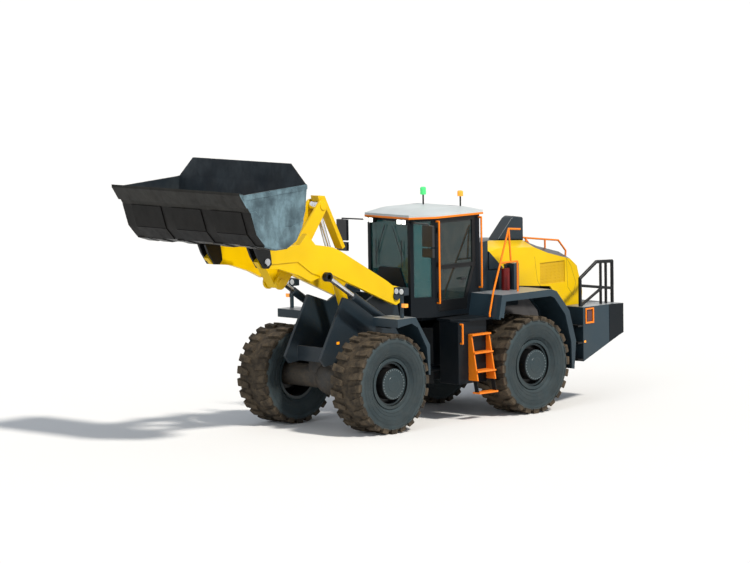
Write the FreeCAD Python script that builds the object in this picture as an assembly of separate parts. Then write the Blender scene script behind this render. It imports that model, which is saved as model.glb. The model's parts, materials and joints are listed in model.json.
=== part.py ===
"""Articulated wheel loader: every rigid piece of the machine, one STEP file per piece.

Units are millimetres. +X is forward, +Y is the machine's left, +Z is up. The ground is Z = 0 and
the origin lies under the middle of the whole machine, boom and bucket as parked.
"""
import FreeCAD, Part
import math
import os

V = FreeCAD.Vector

# Driving dimensions of the chassis
FRONT_AXLE_X = 1355.0
WHEELBASE = 3860.0
TRACK = 2510.0
TYRE_DIAMETER = 1875.0
TYRE_WIDTH = 740.0
LUG_COUNT = 24
LUG_DEPTH = 48.0
LUG_LENGTH = 290.0
LUG_OUTER_WIDTH = 150.0
LUG_INNER_WIDTH = 100.0
LUG_SLANT = 55.0
LUG_SINK = 130.0
LUG_OVERHANG = 7.0
SHOULDER_INSET = 25.0
RIM_DIAMETER = 930.0
RIM_WIDTH = 620.0
RIM_WALL = 24.0
HUB_DIAMETER = 585.0
SPINDLE_RADIUS = 150.0
AXLE_TUBE_RADIUS = 215.0
DIFF_RADIUS = 330.0

# Clearances
RUN_FIT = 0.05
FACE_GAP = 5.0
SEAT_GAP = 0.3

# Places worked out from the chassis
REAR_AXLE_X = FRONT_AXLE_X - WHEELBASE
HITCH_X = (FRONT_AXLE_X + REAR_AXLE_X) / 2
AXLE_Z = TYRE_DIAMETER / 2
WHEEL_Y = TRACK / 2

CAB_BACK_X = -3230.0
TAIL_END_X = -6660.0
REAR_OVERHANG = 2800.0


def rear(x):
    """Place forward of the front axle, given forward of the rear axle."""
    return x - WHEELBASE


def hitch(x):
    """Place forward of the front axle, given forward of the hitch."""
    return x - WHEELBASE / 2


TAIL_STRETCH = (WHEELBASE + REAR_OVERHANG + CAB_BACK_X) / (CAB_BACK_X - TAIL_END_X)


def tail(x):
    """Place behind the cab, kept in step between the cab's back and the machine's rear end."""
    return CAB_BACK_X + (x - CAB_BACK_X) * TAIL_STRETCH


def tail_line(outline):
    """Outline behind the cab, kept in step point by point."""
    return [(tail(x), z) for x, z in outline]


def rear_line(outline):
    """Outline given forward of the rear axle, moved to it point by point."""
    return [(rear(x), z) for x, z in outline]


# Loader linkage pins, forward of the front axle and above the ground
BOOM_PIN = (-1000.0, 2450.0)
HINGE_PIN = (2400.0, 3350.0)
CRANK_PIN = (1060.0, 3360.0)
CRANK_TOP = (360.0, 4210.0)
CRANK_LOW = (1480.0, 2860.0)
LINK_PIN = (2032.0, 3659.0)
LIFT_BASE = (-750.0, 1940.0)
LIFT_EYE = (880.0, 2960.0)
TILT_BASE = (-500.0, 1800.0)
PIN_RADIUS = 50.0

# Boom arms
ARM_INNER_Y = 600.0
ARM_THICKNESS = 120.0
ARM_OUTER_Y = ARM_INNER_Y + ARM_THICKNESS
CROSS_TUBE_RADIUS = 150.0
ARM_RECESS = 20.0

# Bell crank, tilt link and tilt cylinder share the centre line
CRANK_GAP_Y = 130.0
CRANK_PLATE = 50.0
CENTRE_EYE_Y = 115.0

# Cylinders
LIFT_Y = 802.0
LIFT_EYE_WIDTH = 100.0
LIFT_BARREL_RADIUS = 75.0
LIFT_ROD_RADIUS = 48.0
LIFT_BARREL_LENGTH = 1150.0
LIFT_STROKE_SPARE = 390.0
TILT_BARREL_RADIUS = 105.0
TILT_ROD_RADIUS = 55.0
TILT_BARREL_LENGTH = 1650.0
TILT_STROKE_SPARE = 300.0
STEER_BASE = (900.0, 550.0)
STEER_EYE = (-1450.0, 550.0)
STEER_Z = 950.0
STEER_BARREL_RADIUS = 55.0
STEER_ROD_RADIUS = 32.0
STEER_LENGTH = WHEELBASE - STEER_BASE[0] + STEER_EYE[0]
STEER_BARREL_LENGTH = 945.0 / 1510.0 * STEER_LENGTH
STEER_STROKE_SPARE = 480.0 / 1510.0 * STEER_LENGTH
STEER_PIN_RADIUS = 35.0
CYLINDER_WALL = 14.0
GLAND_LENGTH = 70.0
GLAND_STEP = 2.0
PISTON_LENGTH = 50.0
CAP_LENGTH = 25.0
EYE_WALL = 38.0

# Front frame
TOWER_INNER_Y = 440.0
TOWER_PLATE = 60.0
TOWER_OUTER_Y = TOWER_INNER_Y + TOWER_PLATE
TOWER_FLOOR_Z = 1280.0
TOWER_REAR_X = -1305.0
HITCH_PIN_RADIUS = 60.0
HITCH_UPPER_Z = 1470.0
HITCH_LOWER_Z = 760.0
HITCH_LUG = 80.0
HITCH_LUG_RADIUS = 170.0

# Rear frame, engine and cooling pack
RAIL_INNER_Y = 300.0
RAIL_PLATE = 60.0
RAIL_BOTTOM_Z = 1000.0
RAIL_TOP_Z = 1500.0
ENGINE_Z = 1290.0
ENGINE_FRONT_X = -3950.0
ENGINE_LENGTH = 1350.0
ENGINE_WIDTH = 840.0
ENGINE_HEIGHT = 1150.0

# Cab
CAB_HALF_WIDTH = 800.0
CAB_FRONT_X = -1550.0
CAB_CORNER_X = -1990.0
CAB_REAR_X = -3200.0
CAB_FRONT_HALF = 565.0
CAB_FLOOR_Z = 1960.0
CAB_SILL_Z = 2290.0
CAB_TOP_Z = 3860.0
CAB_WALL = 60.0
POST = 70.0
GLASS = 8.0
ROOF_OVERHANG = 50.0
ROOF_EDGE = 60.0
ROOF_RISE = 75.0
TRIM_OVERHANG = 54.0
TRIM_LOW_Z = 3838.0
TRIM_HEIGHT = 36.0
WORK_LAMP_HALF = 55.0
WORK_LAMP_DEPTH = 110.0
WORK_LAMP_Z = (3745.0, 3834.0)
WORK_LAMP_Y = (375.0, 505.0)
BEACON_RADIUS = 58.0
BEACON_POST = 190.0
BEACON_ROUND = 35.0
BEACON_POST_RADIUS = 16.0
DOOR_FRONT_X = -2060.0
DOOR_REAR_X = -3070.0
DOOR_LOW_REAR_X = -2860.0
DOOR_WAIST_Z = 2900.0
DOOR_KNEE_Z = 2330.0
DOOR_FRAME = 75.0
DOOR_BOTTOM_Z = 2066.0
DOOR_TOP_Z = 3824.0
DOOR_THICKNESS = 50.0
DOOR_GAP = 6.0
DOOR_PIN = (-2048.0, 818.0)
DOOR_PIN_RADIUS = 8.0
DOOR_KNUCKLE = 13.0
DOOR_KNUCKLE_HEIGHT = 50.0
DOOR_HINGE_Z = (2330.0, 2900.0, 3550.0)

# Platforms, boxes and ladders
DECK_Z = 1935.0
DECK_THICKNESS = 45.0
DECK_INNER_Y = 730.0
DECK_CORNER_SHARE = 240.0 / 810.0
PLATE_Z = DECK_Z - DECK_THICKNESS
BOX_FRONT_X = -2070.0
BOX_REAR_X = rear(960.0)
BOX_LENGTH = BOX_FRONT_X - BOX_REAR_X
LADDER_SPAN = (70.0 / 830.0, 550.0 / 830.0)
GRAB_SHARE = 60.0 / 830.0
BOX_INNER_Y = 800.0
BOX_OUTER_Y = 1300.0
BOX_BOTTOM_Z = 700.0

LADDER_TREADS = ((1640.0, 0.0, 1420.0), (1300.0, 0.0, 1475.0), (950.0, 0.0, 1545.0),
                 (545.0, 100.0, 1590.0))
TREAD_THICKNESS = 32.0

# Fenders
FENDER_INNER_Y = 950.0
FENDER_OUTER_Y = 1610.0
FENDER_SHEET = 40.0
FENDER_TOP_Z = 2350.0
FENDER_FRONT_Z = 2130.0
FENDER_LIP = 130.0
FENDER_LIP_THICKNESS = 30.0

# Hood
HOOD_HALF_WIDTH = 780.0
HOOD_WALL = 30.0
HOOD_SHOULDER = 300.0
HOOD_SHOULDER_DROP = 120.0
VENT_RECESS = 15.0
VENT_FRONT_X = tail(-4900.0)
VENT_REAR_X = tail(-5600.0)
VENT_LOW_Z = 2340.0
VENT_HIGH_Z = 2760.0
VENT_COLUMNS = 6
VENT_ROWS = 7
VENT_SLOT = (76.0, 26.0)
COWL_HALF_WIDTH = 760.0
COWL_WALL = 40.0
HOOD_HINGE = (tail(-6160.0), 1965.0)
HOOD_PIN_RADIUS = 15.0
HOOD_LUG_Y = 520.0

# Counterweight
WEIGHT_HALF_WIDTH = 1350.0
WEIGHT_TOP_Z = 1885.0
TOW_PIN_X = tail(-6560.0)
TOW_PIN_RADIUS = 30.0
TOW_SLOT_WIDTH = 260.0
TOW_SLOT_HEIGHT = 180.0
TOW_SLOT_Z = 1480.0
WEIGHT_GROOVE_X = tail(-6240.0)
WEIGHT_GROOVE = 14.0
TAIL_LAMP_X = (tail(-5800.0), tail(-5560.0))
TAIL_LAMP_Z = (1560.0, 1860.0)
TAIL_LAMP_FRAME = 28.0
TAIL_LAMP_DEPTH = 40.0
STEP_DEPTH = 140.0
STEP_THICKNESS = 30.0
STEP_Z = (850.0, 1180.0, 1510.0)

GUARD_RAIL_Y = 1200.0
GUARD_TUBE = 34.0
GUARD_POST = 28.0

# Bucket
BUCKET_HALF_WIDTH = 1700.0
BUCKET_SHELL = 30.0
BUCKET_SIDE = 40.0
EDGE_LENGTH = 330.0
EDGE_THICKNESS = 28.0
EDGE_STEP = 60.0
DOUBLER = 14.0
SKID_WIDTH = 260.0
SKID_THICKNESS = 22.0
SKID_SHARES = (480.0 / 1700.0, 1180.0 / 1700.0)
SKID_MARGIN = 10.0
GUARD_CUT = 400.0
GUARD_TOP_Z = 5180.0

RAIL_TUBE = 19.0


def at_front(x):
    """X of a place measured forward of the front axle."""
    return FRONT_AXLE_X + x


def front_point(pair, y=0.0):
    """A pin or outline point given as forward of the front axle and above the ground."""
    return V(at_front(pair[0]), y, pair[1])


def box(x0, x1, y0, y1, z0, z1):
    """Block between two corners."""
    low = V(min(x0, x1), min(y0, y1), min(z0, z1))
    return Part.makeBox(abs(x1 - x0), abs(y1 - y0), abs(z1 - z0), low)


def cylinder(start, end, radius):
    """Round bar between two points."""
    axis = end.sub(start)
    return Part.makeCylinder(radius, axis.Length, start, axis)


def pipe_between(start, end, outer, inner):
    """Round tube between two points."""
    return cylinder(start, end, outer).cut(cylinder(start, end, inner))


def prism(points, push):
    """Flat outline pushed along a vector."""
    face = Part.Face(Part.makePolygon(points + [points[0]]))
    return face.extrude(push)


def side_prism(outline, y0, y1):
    """Outline of (forward of front axle, height) pairs, filled from y0 to y1."""
    points = [front_point(p, y0) for p in outline]
    return prism(points, V(0, y1 - y0, 0))


def plan_prism(outline, z0, z1):
    """Outline of (forward of front axle, left) pairs, filled from z0 to z1."""
    points = [V(at_front(x), y, z0) for x, y in outline]
    return prism(points, V(0, 0, z1 - z0))


def end_prism(outline, x0, x1):
    """Outline of (left, height) pairs, filled between two places forward of the front axle."""
    points = [V(at_front(x0), y, z) for y, z in outline]
    return prism(points, V(x1 - x0, 0, 0))


def bent_bar(points, radius):
    """Round bar along straight runs with ball corners."""
    bar = None
    for start, end in zip(points, points[1:]):
        run = cylinder(start, end, radius)
        bar = run if bar is None else bar.fuse(run)
    for corner in points[1:-1]:
        bar = bar.fuse(Part.makeSphere(radius, corner))
    return bar


def mirrored(shape):
    """The same shape on the machine's right side."""
    return shape.mirror(V(0, 0, 0), V(0, 1, 0))


def both_sides(shape):
    """A shape with its mirror image."""
    return [shape, mirrored(shape)]


def fused(shapes):
    """One solid out of pieces that touch or overlap."""
    body = shapes[0]
    if len(shapes) > 1:
        body = body.multiFuse(shapes[1:])
    return body.removeSplitter()


def offset_line(outline, distance):
    """Open outline moved sideways to its left by a distance, corners mitred."""
    moved = []
    count = len(outline)
    for index, (x, z) in enumerate(outline):
        normals = []
        for other in (index - 1, index):
            if 0 <= other < count - 1:
                dx = outline[other + 1][0] - outline[other][0]
                dz = outline[other + 1][1] - outline[other][1]
                length = math.hypot(dx, dz)
                normals.append((-dz / length, dx / length))
        nx = sum(n[0] for n in normals) / len(normals)
        nz = sum(n[1] for n in normals) / len(normals)
        scale = distance / (nx * nx + nz * nz)
        moved.append((x + nx * scale, z + nz * scale))
    return moved


def turned(pair, length, angle):
    """Point at a length and angle in degrees from a pin."""
    a = math.radians(angle)
    return (pair[0] + length * math.cos(a), pair[1] + length * math.sin(a))


def along(a, b, distance):
    """Point on the line from a towards b at a distance from a."""
    length = math.dist(a, b)
    share = distance / length
    return tuple(p + (q - p) * share for p, q in zip(a, b))


def pin_y(pair, radius, y0, y1):
    """Round pin across the machine at a linkage point."""
    return cylinder(front_point(pair, y0), front_point(pair, y1), radius)


PIECES = {}


def keep(name, shapes):
    """Store a piece under its node name."""
    solids = shapes if isinstance(shapes, list) else [shapes]
    PIECES[name] = Part.makeCompound(solids) if len(solids) > 1 else solids[0]


def faceted_ring(base, section, sides):
    """Ring round the axle at base, its (radius, across) section carried round a regular polygon."""
    step = 2 * math.pi / sides
    grow = 1 / math.cos(step / 2)
    loops = []
    for index in range(sides):
        angle = (index + 0.5) * step
        loops.append([base.add(V(r * grow * math.sin(angle), y, r * grow * math.cos(angle)))
                      for r, y in section])
    faces = []
    for here, there in zip(loops, loops[1:] + loops[:1]):
        for index in range(len(section)):
            other = (index + 1) % len(section)
            corners = [here[index], here[other], there[other], there[index]]
            faces.append(Part.Face(Part.makePolygon(corners + corners[:1])))
    shell = Part.Shell(faces)
    shell.sewShape()
    solid = Part.Solid(shell)
    return solid if solid.Volume > 0 else solid.reversed()


def tyre_lugs(base, radius, half, side):
    """Slanted tread blocks at both shoulders, those of one shoulder between those of the other."""
    blocks = []
    low = radius - LUG_SINK
    reach = half - SHOULDER_INSET + LUG_OVERHANG
    lean = LUG_SLANT + LUG_INNER_WIDTH / 2
    turn = math.pi / LUG_COUNT
    top = (radius - lean * math.sin(turn)) / math.cos(turn)
    for shoulder in (1, -1):
        outer_y = shoulder * reach
        inner_y = shoulder * (reach - LUG_LENGTH)
        corners = [(-LUG_OUTER_WIDTH / 2, outer_y), (LUG_OUTER_WIDTH / 2, outer_y),
                   (LUG_SLANT + LUG_INNER_WIDTH / 2, inner_y),
                   (LUG_SLANT - LUG_INNER_WIDTH / 2, inner_y)]
        foot = [base.add(V(x, y, -low)) for x, y in corners]
        block = prism(foot, V(0, 0, low - top))
        shift = 0 if shoulder == side else 180.0 / LUG_COUNT
        for index in range(LUG_COUNT):
            copy = block.copy()
            copy.rotate(base, V(0, 1, 0), shift + index * 360.0 / LUG_COUNT)
            blocks.append(copy)
    return blocks


def make_wheel(name, axle_x, side):
    """Tyre and rim of one wheel; side is +1 on the left and -1 on the right."""
    centre_y = side * WHEEL_Y
    bead = RIM_DIAMETER / 2 - RIM_WALL
    radius = TYRE_DIAMETER / 2
    half = TYRE_WIDTH / 2
    half_rim = RIM_WIDTH / 2
    wall_bulge = radius * 0.70
    tread = radius - LUG_DEPTH
    seat = bead + SEAT_GAP
    edge = half - SHOULDER_INSET
    section = [
        (seat, -half_rim + RIM_WALL), (bead + 45, -half_rim + RIM_WALL), (wall_bulge, -half),
        (tread, -edge), (tread, edge), (wall_bulge, half), (bead + 45, half_rim - RIM_WALL),
        (seat, half_rim - RIM_WALL),
    ]
    base = V(axle_x, centre_y, AXLE_Z)
    casing = faceted_ring(base, section, LUG_COUNT)
    tyre = fused([casing] + tyre_lugs(base, radius, half, side))
    keep("tyre_" + name, tyre)

    out = side
    web = 40.0
    web_y = centre_y + out * 120.0
    barrel_section = [
        (bead, -half_rim + RIM_WALL), (bead, half_rim - RIM_WALL), (bead + 35, half_rim - RIM_WALL),
        (bead + 35, half_rim), (bead - RIM_WALL, half_rim), (bead - RIM_WALL, -half_rim),
        (bead + 35, -half_rim), (bead + 35, -half_rim + RIM_WALL),
    ]
    points = [base.add(V(0, y, r)) for r, y in barrel_section]
    barrel = Part.Face(Part.makePolygon(points + [points[0]])).revolve(base, V(0, 1, 0), 360)
    disc = cylinder(V(axle_x, web_y - web / 2, AXLE_Z), V(axle_x, web_y + web / 2, AXLE_Z), bead)
    hub_face_y = centre_y + out * (half_rim + 45.0)
    hub_back_y = centre_y - out * 40.0
    hub = cylinder(V(axle_x, hub_back_y, AXLE_Z), V(axle_x, hub_face_y, AXLE_Z), HUB_DIAMETER / 2)
    bore_end = V(axle_x, hub_face_y - out * 110.0, AXLE_Z)
    bore = cylinder(V(axle_x, hub_back_y - out, AXLE_Z), bore_end, SPINDLE_RADIUS + RUN_FIT)
    rim = fused([barrel, disc, hub]).cut(bore)
    keep("rim_" + name, rim)


def make_axle(name, axle_x, mount_half, mount_top):
    """Axle housing with differential, spindles and the pads that carry the frame."""
    hub_back = WHEEL_Y - 40.0
    spindle_end = WHEEL_Y + RIM_WIDTH / 2 + 45.0 - 110.0 - FACE_GAP
    tube = cylinder(V(axle_x, -hub_back + FACE_GAP, AXLE_Z), V(axle_x, hub_back - FACE_GAP, AXLE_Z),
                    AXLE_TUBE_RADIUS)
    spindles = cylinder(V(axle_x, -spindle_end, AXLE_Z), V(axle_x, spindle_end, AXLE_Z),
                        SPINDLE_RADIUS)
    diff = Part.makeSphere(DIFF_RADIUS, V(axle_x, 0, AXLE_Z))
    nose = cylinder(V(axle_x, 0, AXLE_Z), V(axle_x - math.copysign(DIFF_RADIUS + 140, axle_x), 0,
                                            AXLE_Z), 120.0)
    pads = box(axle_x - 190, axle_x + 190, -mount_half, mount_half, AXLE_Z, mount_top)
    keep(name, fused([tube, spindles, diff, nose, pads]))


def make_front_frame():
    """Towers, floor, cross plates, hitch and every pin that the front frame carries."""
    tower_outline = [
        (800, 1380), (170, 2500), (-350, 2330), (-820, 2560), (-900, 2640), (-1030, 2665),
        (-1160, 2600), (-1210, 2450), (-1330, 1900), (TOWER_REAR_X, 1750), (TOWER_REAR_X, 700),
        (-900, 700), (-500, TOWER_FLOOR_Z), (350, TOWER_FLOOR_Z), (680, 1240),
    ]
    tower = side_prism(tower_outline, TOWER_INNER_Y, TOWER_OUTER_Y)
    floor = box(at_front(-1100), at_front(480), -TOWER_INNER_Y, TOWER_INNER_Y, TOWER_FLOOR_Z,
                TOWER_FLOOR_Z + TOWER_PLATE)
    bulkhead = box(at_front(-760), at_front(-700), -TOWER_INNER_Y, TOWER_INNER_Y, TOWER_FLOOR_Z, 2000)
    top_tie = box(at_front(-1150), at_front(-1090), -TOWER_INNER_Y, TOWER_INNER_Y, 2000, 2450)
    rear_wall = box(at_front(-1400), at_front(TOWER_REAR_X), -TOWER_OUTER_Y, TOWER_OUTER_Y, 700, 860)
    rear_head = box(at_front(-1400), at_front(TOWER_REAR_X + TOWER_PLATE), -TOWER_INNER_Y,
                    TOWER_INNER_Y, 860, 1750)
    front_wall = box(at_front(420), at_front(480), -TOWER_INNER_Y, TOWER_INNER_Y, TOWER_FLOOR_Z, 1560)
    lug_outline = [
        (-700, 1500), (-380, 1500), turned(TILT_BASE, 120, -20), turned(TILT_BASE, 120, 30),
        turned(TILT_BASE, 120, 70), turned(TILT_BASE, 120, 110), (-700, 1930),
    ]
    tilt_lug = side_prism(lug_outline, CRANK_GAP_Y, CRANK_GAP_Y + CRANK_PLATE)
    tilt_pin = pin_y(TILT_BASE, PIN_RADIUS, -CRANK_GAP_Y - CRANK_PLATE, CRANK_GAP_Y + CRANK_PLATE)
    boom_pin = pin_y(BOOM_PIN, PIN_RADIUS + 10, TOWER_INNER_Y, ARM_OUTER_Y + FACE_GAP + 25)
    boom_cap = pin_y(BOOM_PIN, PIN_RADIUS + 35, ARM_OUTER_Y + FACE_GAP, ARM_OUTER_Y + FACE_GAP + 25)
    lift_inner = LIFT_Y - LIFT_EYE_WIDTH / 2 - FACE_GAP
    lift_block = pin_y(LIFT_BASE, PIN_RADIUS + 35, TOWER_OUTER_Y, lift_inner)
    lift_pin = pin_y(LIFT_BASE, PIN_RADIUS, TOWER_OUTER_Y, LIFT_Y + LIFT_EYE_WIDTH / 2 + 8)
    hitch_block = plan_prism([(-1400, -400), (-1400, 400), (hitch(450), 230), (hitch(370), 200),
                              (hitch(370), -200), (hitch(450), -230)], 700, 1560)
    lugs = []
    for z in (HITCH_UPPER_Z, HITCH_LOWER_Z):
        lug = box(at_front(hitch(370)), HITCH_X, -HITCH_LUG_RADIUS, HITCH_LUG_RADIUS, z - HITCH_LUG / 2,
                  z + HITCH_LUG / 2)
        eye = cylinder(V(HITCH_X, 0, z - HITCH_LUG / 2), V(HITCH_X, 0, z + HITCH_LUG / 2),
                       HITCH_LUG_RADIUS)
        lugs.append(lug.fuse(eye))
    hitch_bore = cylinder(V(HITCH_X, 0, 600), V(HITCH_X, 0, 1700), HITCH_PIN_RADIUS + RUN_FIT)
    steer_clevis = []
    for sign in (1, -1):
        start = STEER_Z + sign * (40 + FACE_GAP)
        plate = plan_prism([(TOWER_REAR_X + 20, 440), (TOWER_REAR_X + 20, 560), (-1400, 618),
                            (-1450, 622), (-1500, 602), (-1520, 560), (-1510, 500), (-1400, 440)],
                           start, start + sign * 30)
        steer_clevis.append(plate)
    side = [tower, tilt_lug, boom_pin, boom_cap, lift_block, lift_pin] + steer_clevis
    pieces = side + [mirrored(s) for s in side]
    pieces += [floor, bulkhead, top_tie, rear_wall, rear_head, front_wall, tilt_pin, hitch_block]
    frame = fused(pieces + lugs).cut(hitch_bore)
    keep("front_frame", frame)


def make_front_fenders():
    """Sheet over each front wheel with the arm that ties it to the tower."""
    outer = [(-140, 1970), (-140, FENDER_FRONT_Z), (-620, FENDER_FRONT_Z), (-990, 1580), (-990, 1020)]
    inner = offset_line(outer, FENDER_SHEET)
    sheet = side_prism(outer + inner[::-1], FENDER_INNER_Y, FENDER_OUTER_Y)
    lip_line = [(-140, 1970), (-500, 2025), (-670, 1935), (-900, 1540), (-950, 1020)]
    lip = side_prism(outer + lip_line[::-1], FENDER_OUTER_Y - FENDER_LIP_THICKNESS, FENDER_OUTER_Y)
    arm = box(at_front(-1030), at_front(-990), TOWER_OUTER_Y, FENDER_INNER_Y + 200, 1050, 1500)
    keep("front_fenders", both_sides(fused([sheet, lip, arm])))


def make_front_lamps():
    """Head lamp stands on the front fenders."""
    stand = box(at_front(-418), at_front(-362), 1442, 1498, FENDER_FRONT_Z, 2560)
    lamp = box(at_front(-450), at_front(-330), 1320, 1600, 2560, 2700)
    signal = box(at_front(-430), at_front(-350), 1498, 1600, 2330, 2400)
    keep("front_lamps", both_sides(fused([stand, lamp, signal])))


def make_boom():
    """Two arms, the cross tube that holds the bell crank and the bushes."""
    arm_outline = [
        (2590, 3360), (2420, 3500), (2270, 3560), (1830, 3590), (1510, 3600), (1310, 3790),
        (1100, 3570), (650, 3490), (440, 3400), (-740, 2760), (-910, 2650), (-1120, 2600),
        (-1180, 2470), (-1130, 2330), (-1000, 2270), (-670, 2400), (740, 3010), (1210, 2890),
        (1510, 3030), (2020, 3190), (2480, 3240),
    ]
    arm = side_prism(arm_outline, ARM_INNER_Y, ARM_OUTER_Y)
    boom_boss = pin_y(BOOM_PIN, PIN_RADIUS + 70, TOWER_OUTER_Y + FACE_GAP, ARM_INNER_Y)
    lift_boss = pin_y(LIFT_EYE, PIN_RADIUS + 40, ARM_OUTER_Y, LIFT_Y - LIFT_EYE_WIDTH / 2 - FACE_GAP)
    recess = side_prism([(2700, 3300), (1560, 3290), (1200, 3050), (990, 2985), (990, 2700),
                         (2700, 2700)], ARM_OUTER_Y - ARM_RECESS, ARM_OUTER_Y + ARM_RECESS)
    side = fused([arm.cut(recess), boom_boss, lift_boss])
    side = side.cut(pin_y(BOOM_PIN, PIN_RADIUS + 10 + RUN_FIT, TOWER_INNER_Y, ARM_OUTER_Y + 50))
    side = side.cut(pin_y(HINGE_PIN, PIN_RADIUS + RUN_FIT, ARM_INNER_Y - 50, ARM_OUTER_Y + 50))
    hub_half = CRANK_GAP_Y + CRANK_PLATE + 20
    lug_outline = [
        turned(CRANK_PIN, 170, 0), turned(CRANK_PIN, 170, 60), turned(CRANK_PIN, 170, 120),
        turned(CRANK_PIN, 170, 180), turned(CRANK_PIN, 170, 240), turned(CRANK_PIN, 170, 300),
    ]
    crank_lug = side_prism(lug_outline, hub_half + FACE_GAP, hub_half + FACE_GAP + 60)
    tube = pin_y(CRANK_PIN, CROSS_TUBE_RADIUS, hub_half + FACE_GAP, ARM_INNER_Y)
    crank_pin = pin_y(CRANK_PIN, PIN_RADIUS, -hub_half - FACE_GAP, hub_half + FACE_GAP)
    pieces = [side, crank_lug, tube, mirrored(side), mirrored(crank_lug), mirrored(tube), crank_pin]
    keep("boom", fused(pieces))


def link_plate(ends, radii, y0, y1):
    """Flat bar with round ends between two linkage points."""
    start, end = ends
    length = math.dist(start, end)
    normal = (-(end[1] - start[1]) / length, (end[0] - start[0]) / length)
    corners = []
    for point, radius, sign in ((start, radii[0], 1), (end, radii[1], 1), (end, radii[1], -1),
                                (start, radii[0], -1)):
        corners.append((point[0] + sign * normal[0] * radius, point[1] + sign * normal[1] * radius))
    web = side_prism(corners, y0, y1)
    rounds = [pin_y(start, radii[0], y0, y1), pin_y(end, radii[1], y0, y1)]
    return fused([web] + rounds)


def make_bell_crank():
    """Twin plates with a hub on the boom's cross pin and a pin for the tilt link."""
    y0 = CRANK_GAP_Y
    y1 = CRANK_GAP_Y + CRANK_PLATE
    upper = link_plate((CRANK_PIN, CRANK_TOP), (170, 120), y0, y1)
    lower = link_plate((CRANK_PIN, CRANK_LOW), (170, 130), y0, y1)
    top_cap = pin_y(CRANK_TOP, PIN_RADIUS + 25, y1, y1 + 20)
    low_cap = pin_y(CRANK_LOW, PIN_RADIUS + 25, y1, y1 + 20)
    side = fused([upper, lower, top_cap, low_cap])
    hub = pin_y(CRANK_PIN, 120, -y1 - 20, y1 + 20)
    low_pin = pin_y(CRANK_LOW, PIN_RADIUS, -y1, y1)
    crank = fused([side, mirrored(side), hub, low_pin])
    crank = crank.cut(pin_y(CRANK_PIN, PIN_RADIUS + RUN_FIT, -y1 - 60, y1 + 60))
    keep("bell_crank", crank)


def make_tilt_link():
    """Link from the bell crank's lower pin to the coupler."""
    body = link_plate((CRANK_LOW, LINK_PIN), (105, 100), -CENTRE_EYE_Y, CENTRE_EYE_Y)
    low = pin_y(CRANK_LOW, PIN_RADIUS + RUN_FIT, -CENTRE_EYE_Y - 10, CENTRE_EYE_Y + 10)
    high = pin_y(LINK_PIN, PIN_RADIUS, -CENTRE_EYE_Y - 10, CENTRE_EYE_Y + 10)
    keep("tilt_link", body.cut(low).cut(high))


BUCKET_TIP = (3950, 4770)
BUCKET_LIP = (3690, 4400)
BUCKET_OUTER = [
    along(BUCKET_TIP, BUCKET_LIP, EDGE_STEP), BUCKET_LIP, (3550, 3990), (3340, 3770), (3060, 3690),
    (2760, 3700), (2550, 3810), (2400, 4050), (2300, 4350), (2250, 4820),
]


def make_bucket():
    """Shell, side plates, cutting edge, skids, doublers and spill guard."""
    inner = offset_line(BUCKET_OUTER, -BUCKET_SHELL)
    shell = side_prism(BUCKET_OUTER + inner[::-1], -BUCKET_HALF_WIDTH, BUCKET_HALF_WIDTH)
    side = side_prism(BUCKET_OUTER, BUCKET_HALF_WIDTH - BUCKET_SIDE, BUCKET_HALF_WIDTH)
    guard_half = BUCKET_HALF_WIDTH - GUARD_CUT
    guard = end_prism([(-BUCKET_HALF_WIDTH, 4800), (BUCKET_HALF_WIDTH, 4800),
                       (guard_half, GUARD_TOP_Z), (-guard_half, GUARD_TOP_Z)],
                      2250, 2250 + BUCKET_SHELL)
    ribs = []
    for y in (-900, -300, 300, 900):
        rib = side_prism([(2250, 4500), (2250, 5120), (2225, 5120), (2205, 4560)], y - 15, y + 15)
        ribs += [rib]
    lip_in = offset_line([BUCKET_OUTER[0], BUCKET_LIP], -BUCKET_SHELL - 16)
    lip = side_prism([BUCKET_OUTER[0], BUCKET_LIP] + lip_in[::-1], -BUCKET_HALF_WIDTH,
                     BUCKET_HALF_WIDTH)
    edge_back = along(BUCKET_TIP, BUCKET_LIP, EDGE_LENGTH)
    under = offset_line([BUCKET_TIP, edge_back], EDGE_THICKNESS)
    bevel = along(under[0], under[1], 42)
    edge = side_prism([BUCKET_TIP, bevel, under[1], edge_back], -BUCKET_HALF_WIDTH - DOUBLER,
                      BUCKET_HALF_WIDTH + DOUBLER)
    skids = []
    run = BUCKET_OUTER[3:6]
    skid_out = offset_line(run, SKID_THICKNESS)
    outer_skid = BUCKET_HALF_WIDTH - SKID_MARGIN - SKID_WIDTH / 2
    for y in [share * BUCKET_HALF_WIDTH for share in SKID_SHARES] + [outer_skid]:
        skids.append(side_prism(run + skid_out[::-1], y - SKID_WIDTH / 2, y + SKID_WIDTH / 2))
    outside = (BUCKET_HALF_WIDTH, BUCKET_HALF_WIDTH + DOUBLER)
    rim_strip = side_prism([(3890, 4700), (2252, 4800), (2254, 4730), (3840, 4630)], *outside)
    heel = side_prism([(3690, 4400), (3550, 3990), (3340, 3770), (3060, 3690), (2760, 3700),
                       (2550, 3810), (2400, 4050), (2360, 4170), (2700, 4060), (3250, 4120),
                       (3560, 4420)], *outside)
    half = [side, rim_strip, heel] + skids
    keep("bucket", fused([shell, guard, lip, edge] + ribs + half + [mirrored(h) for h in half]))


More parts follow.
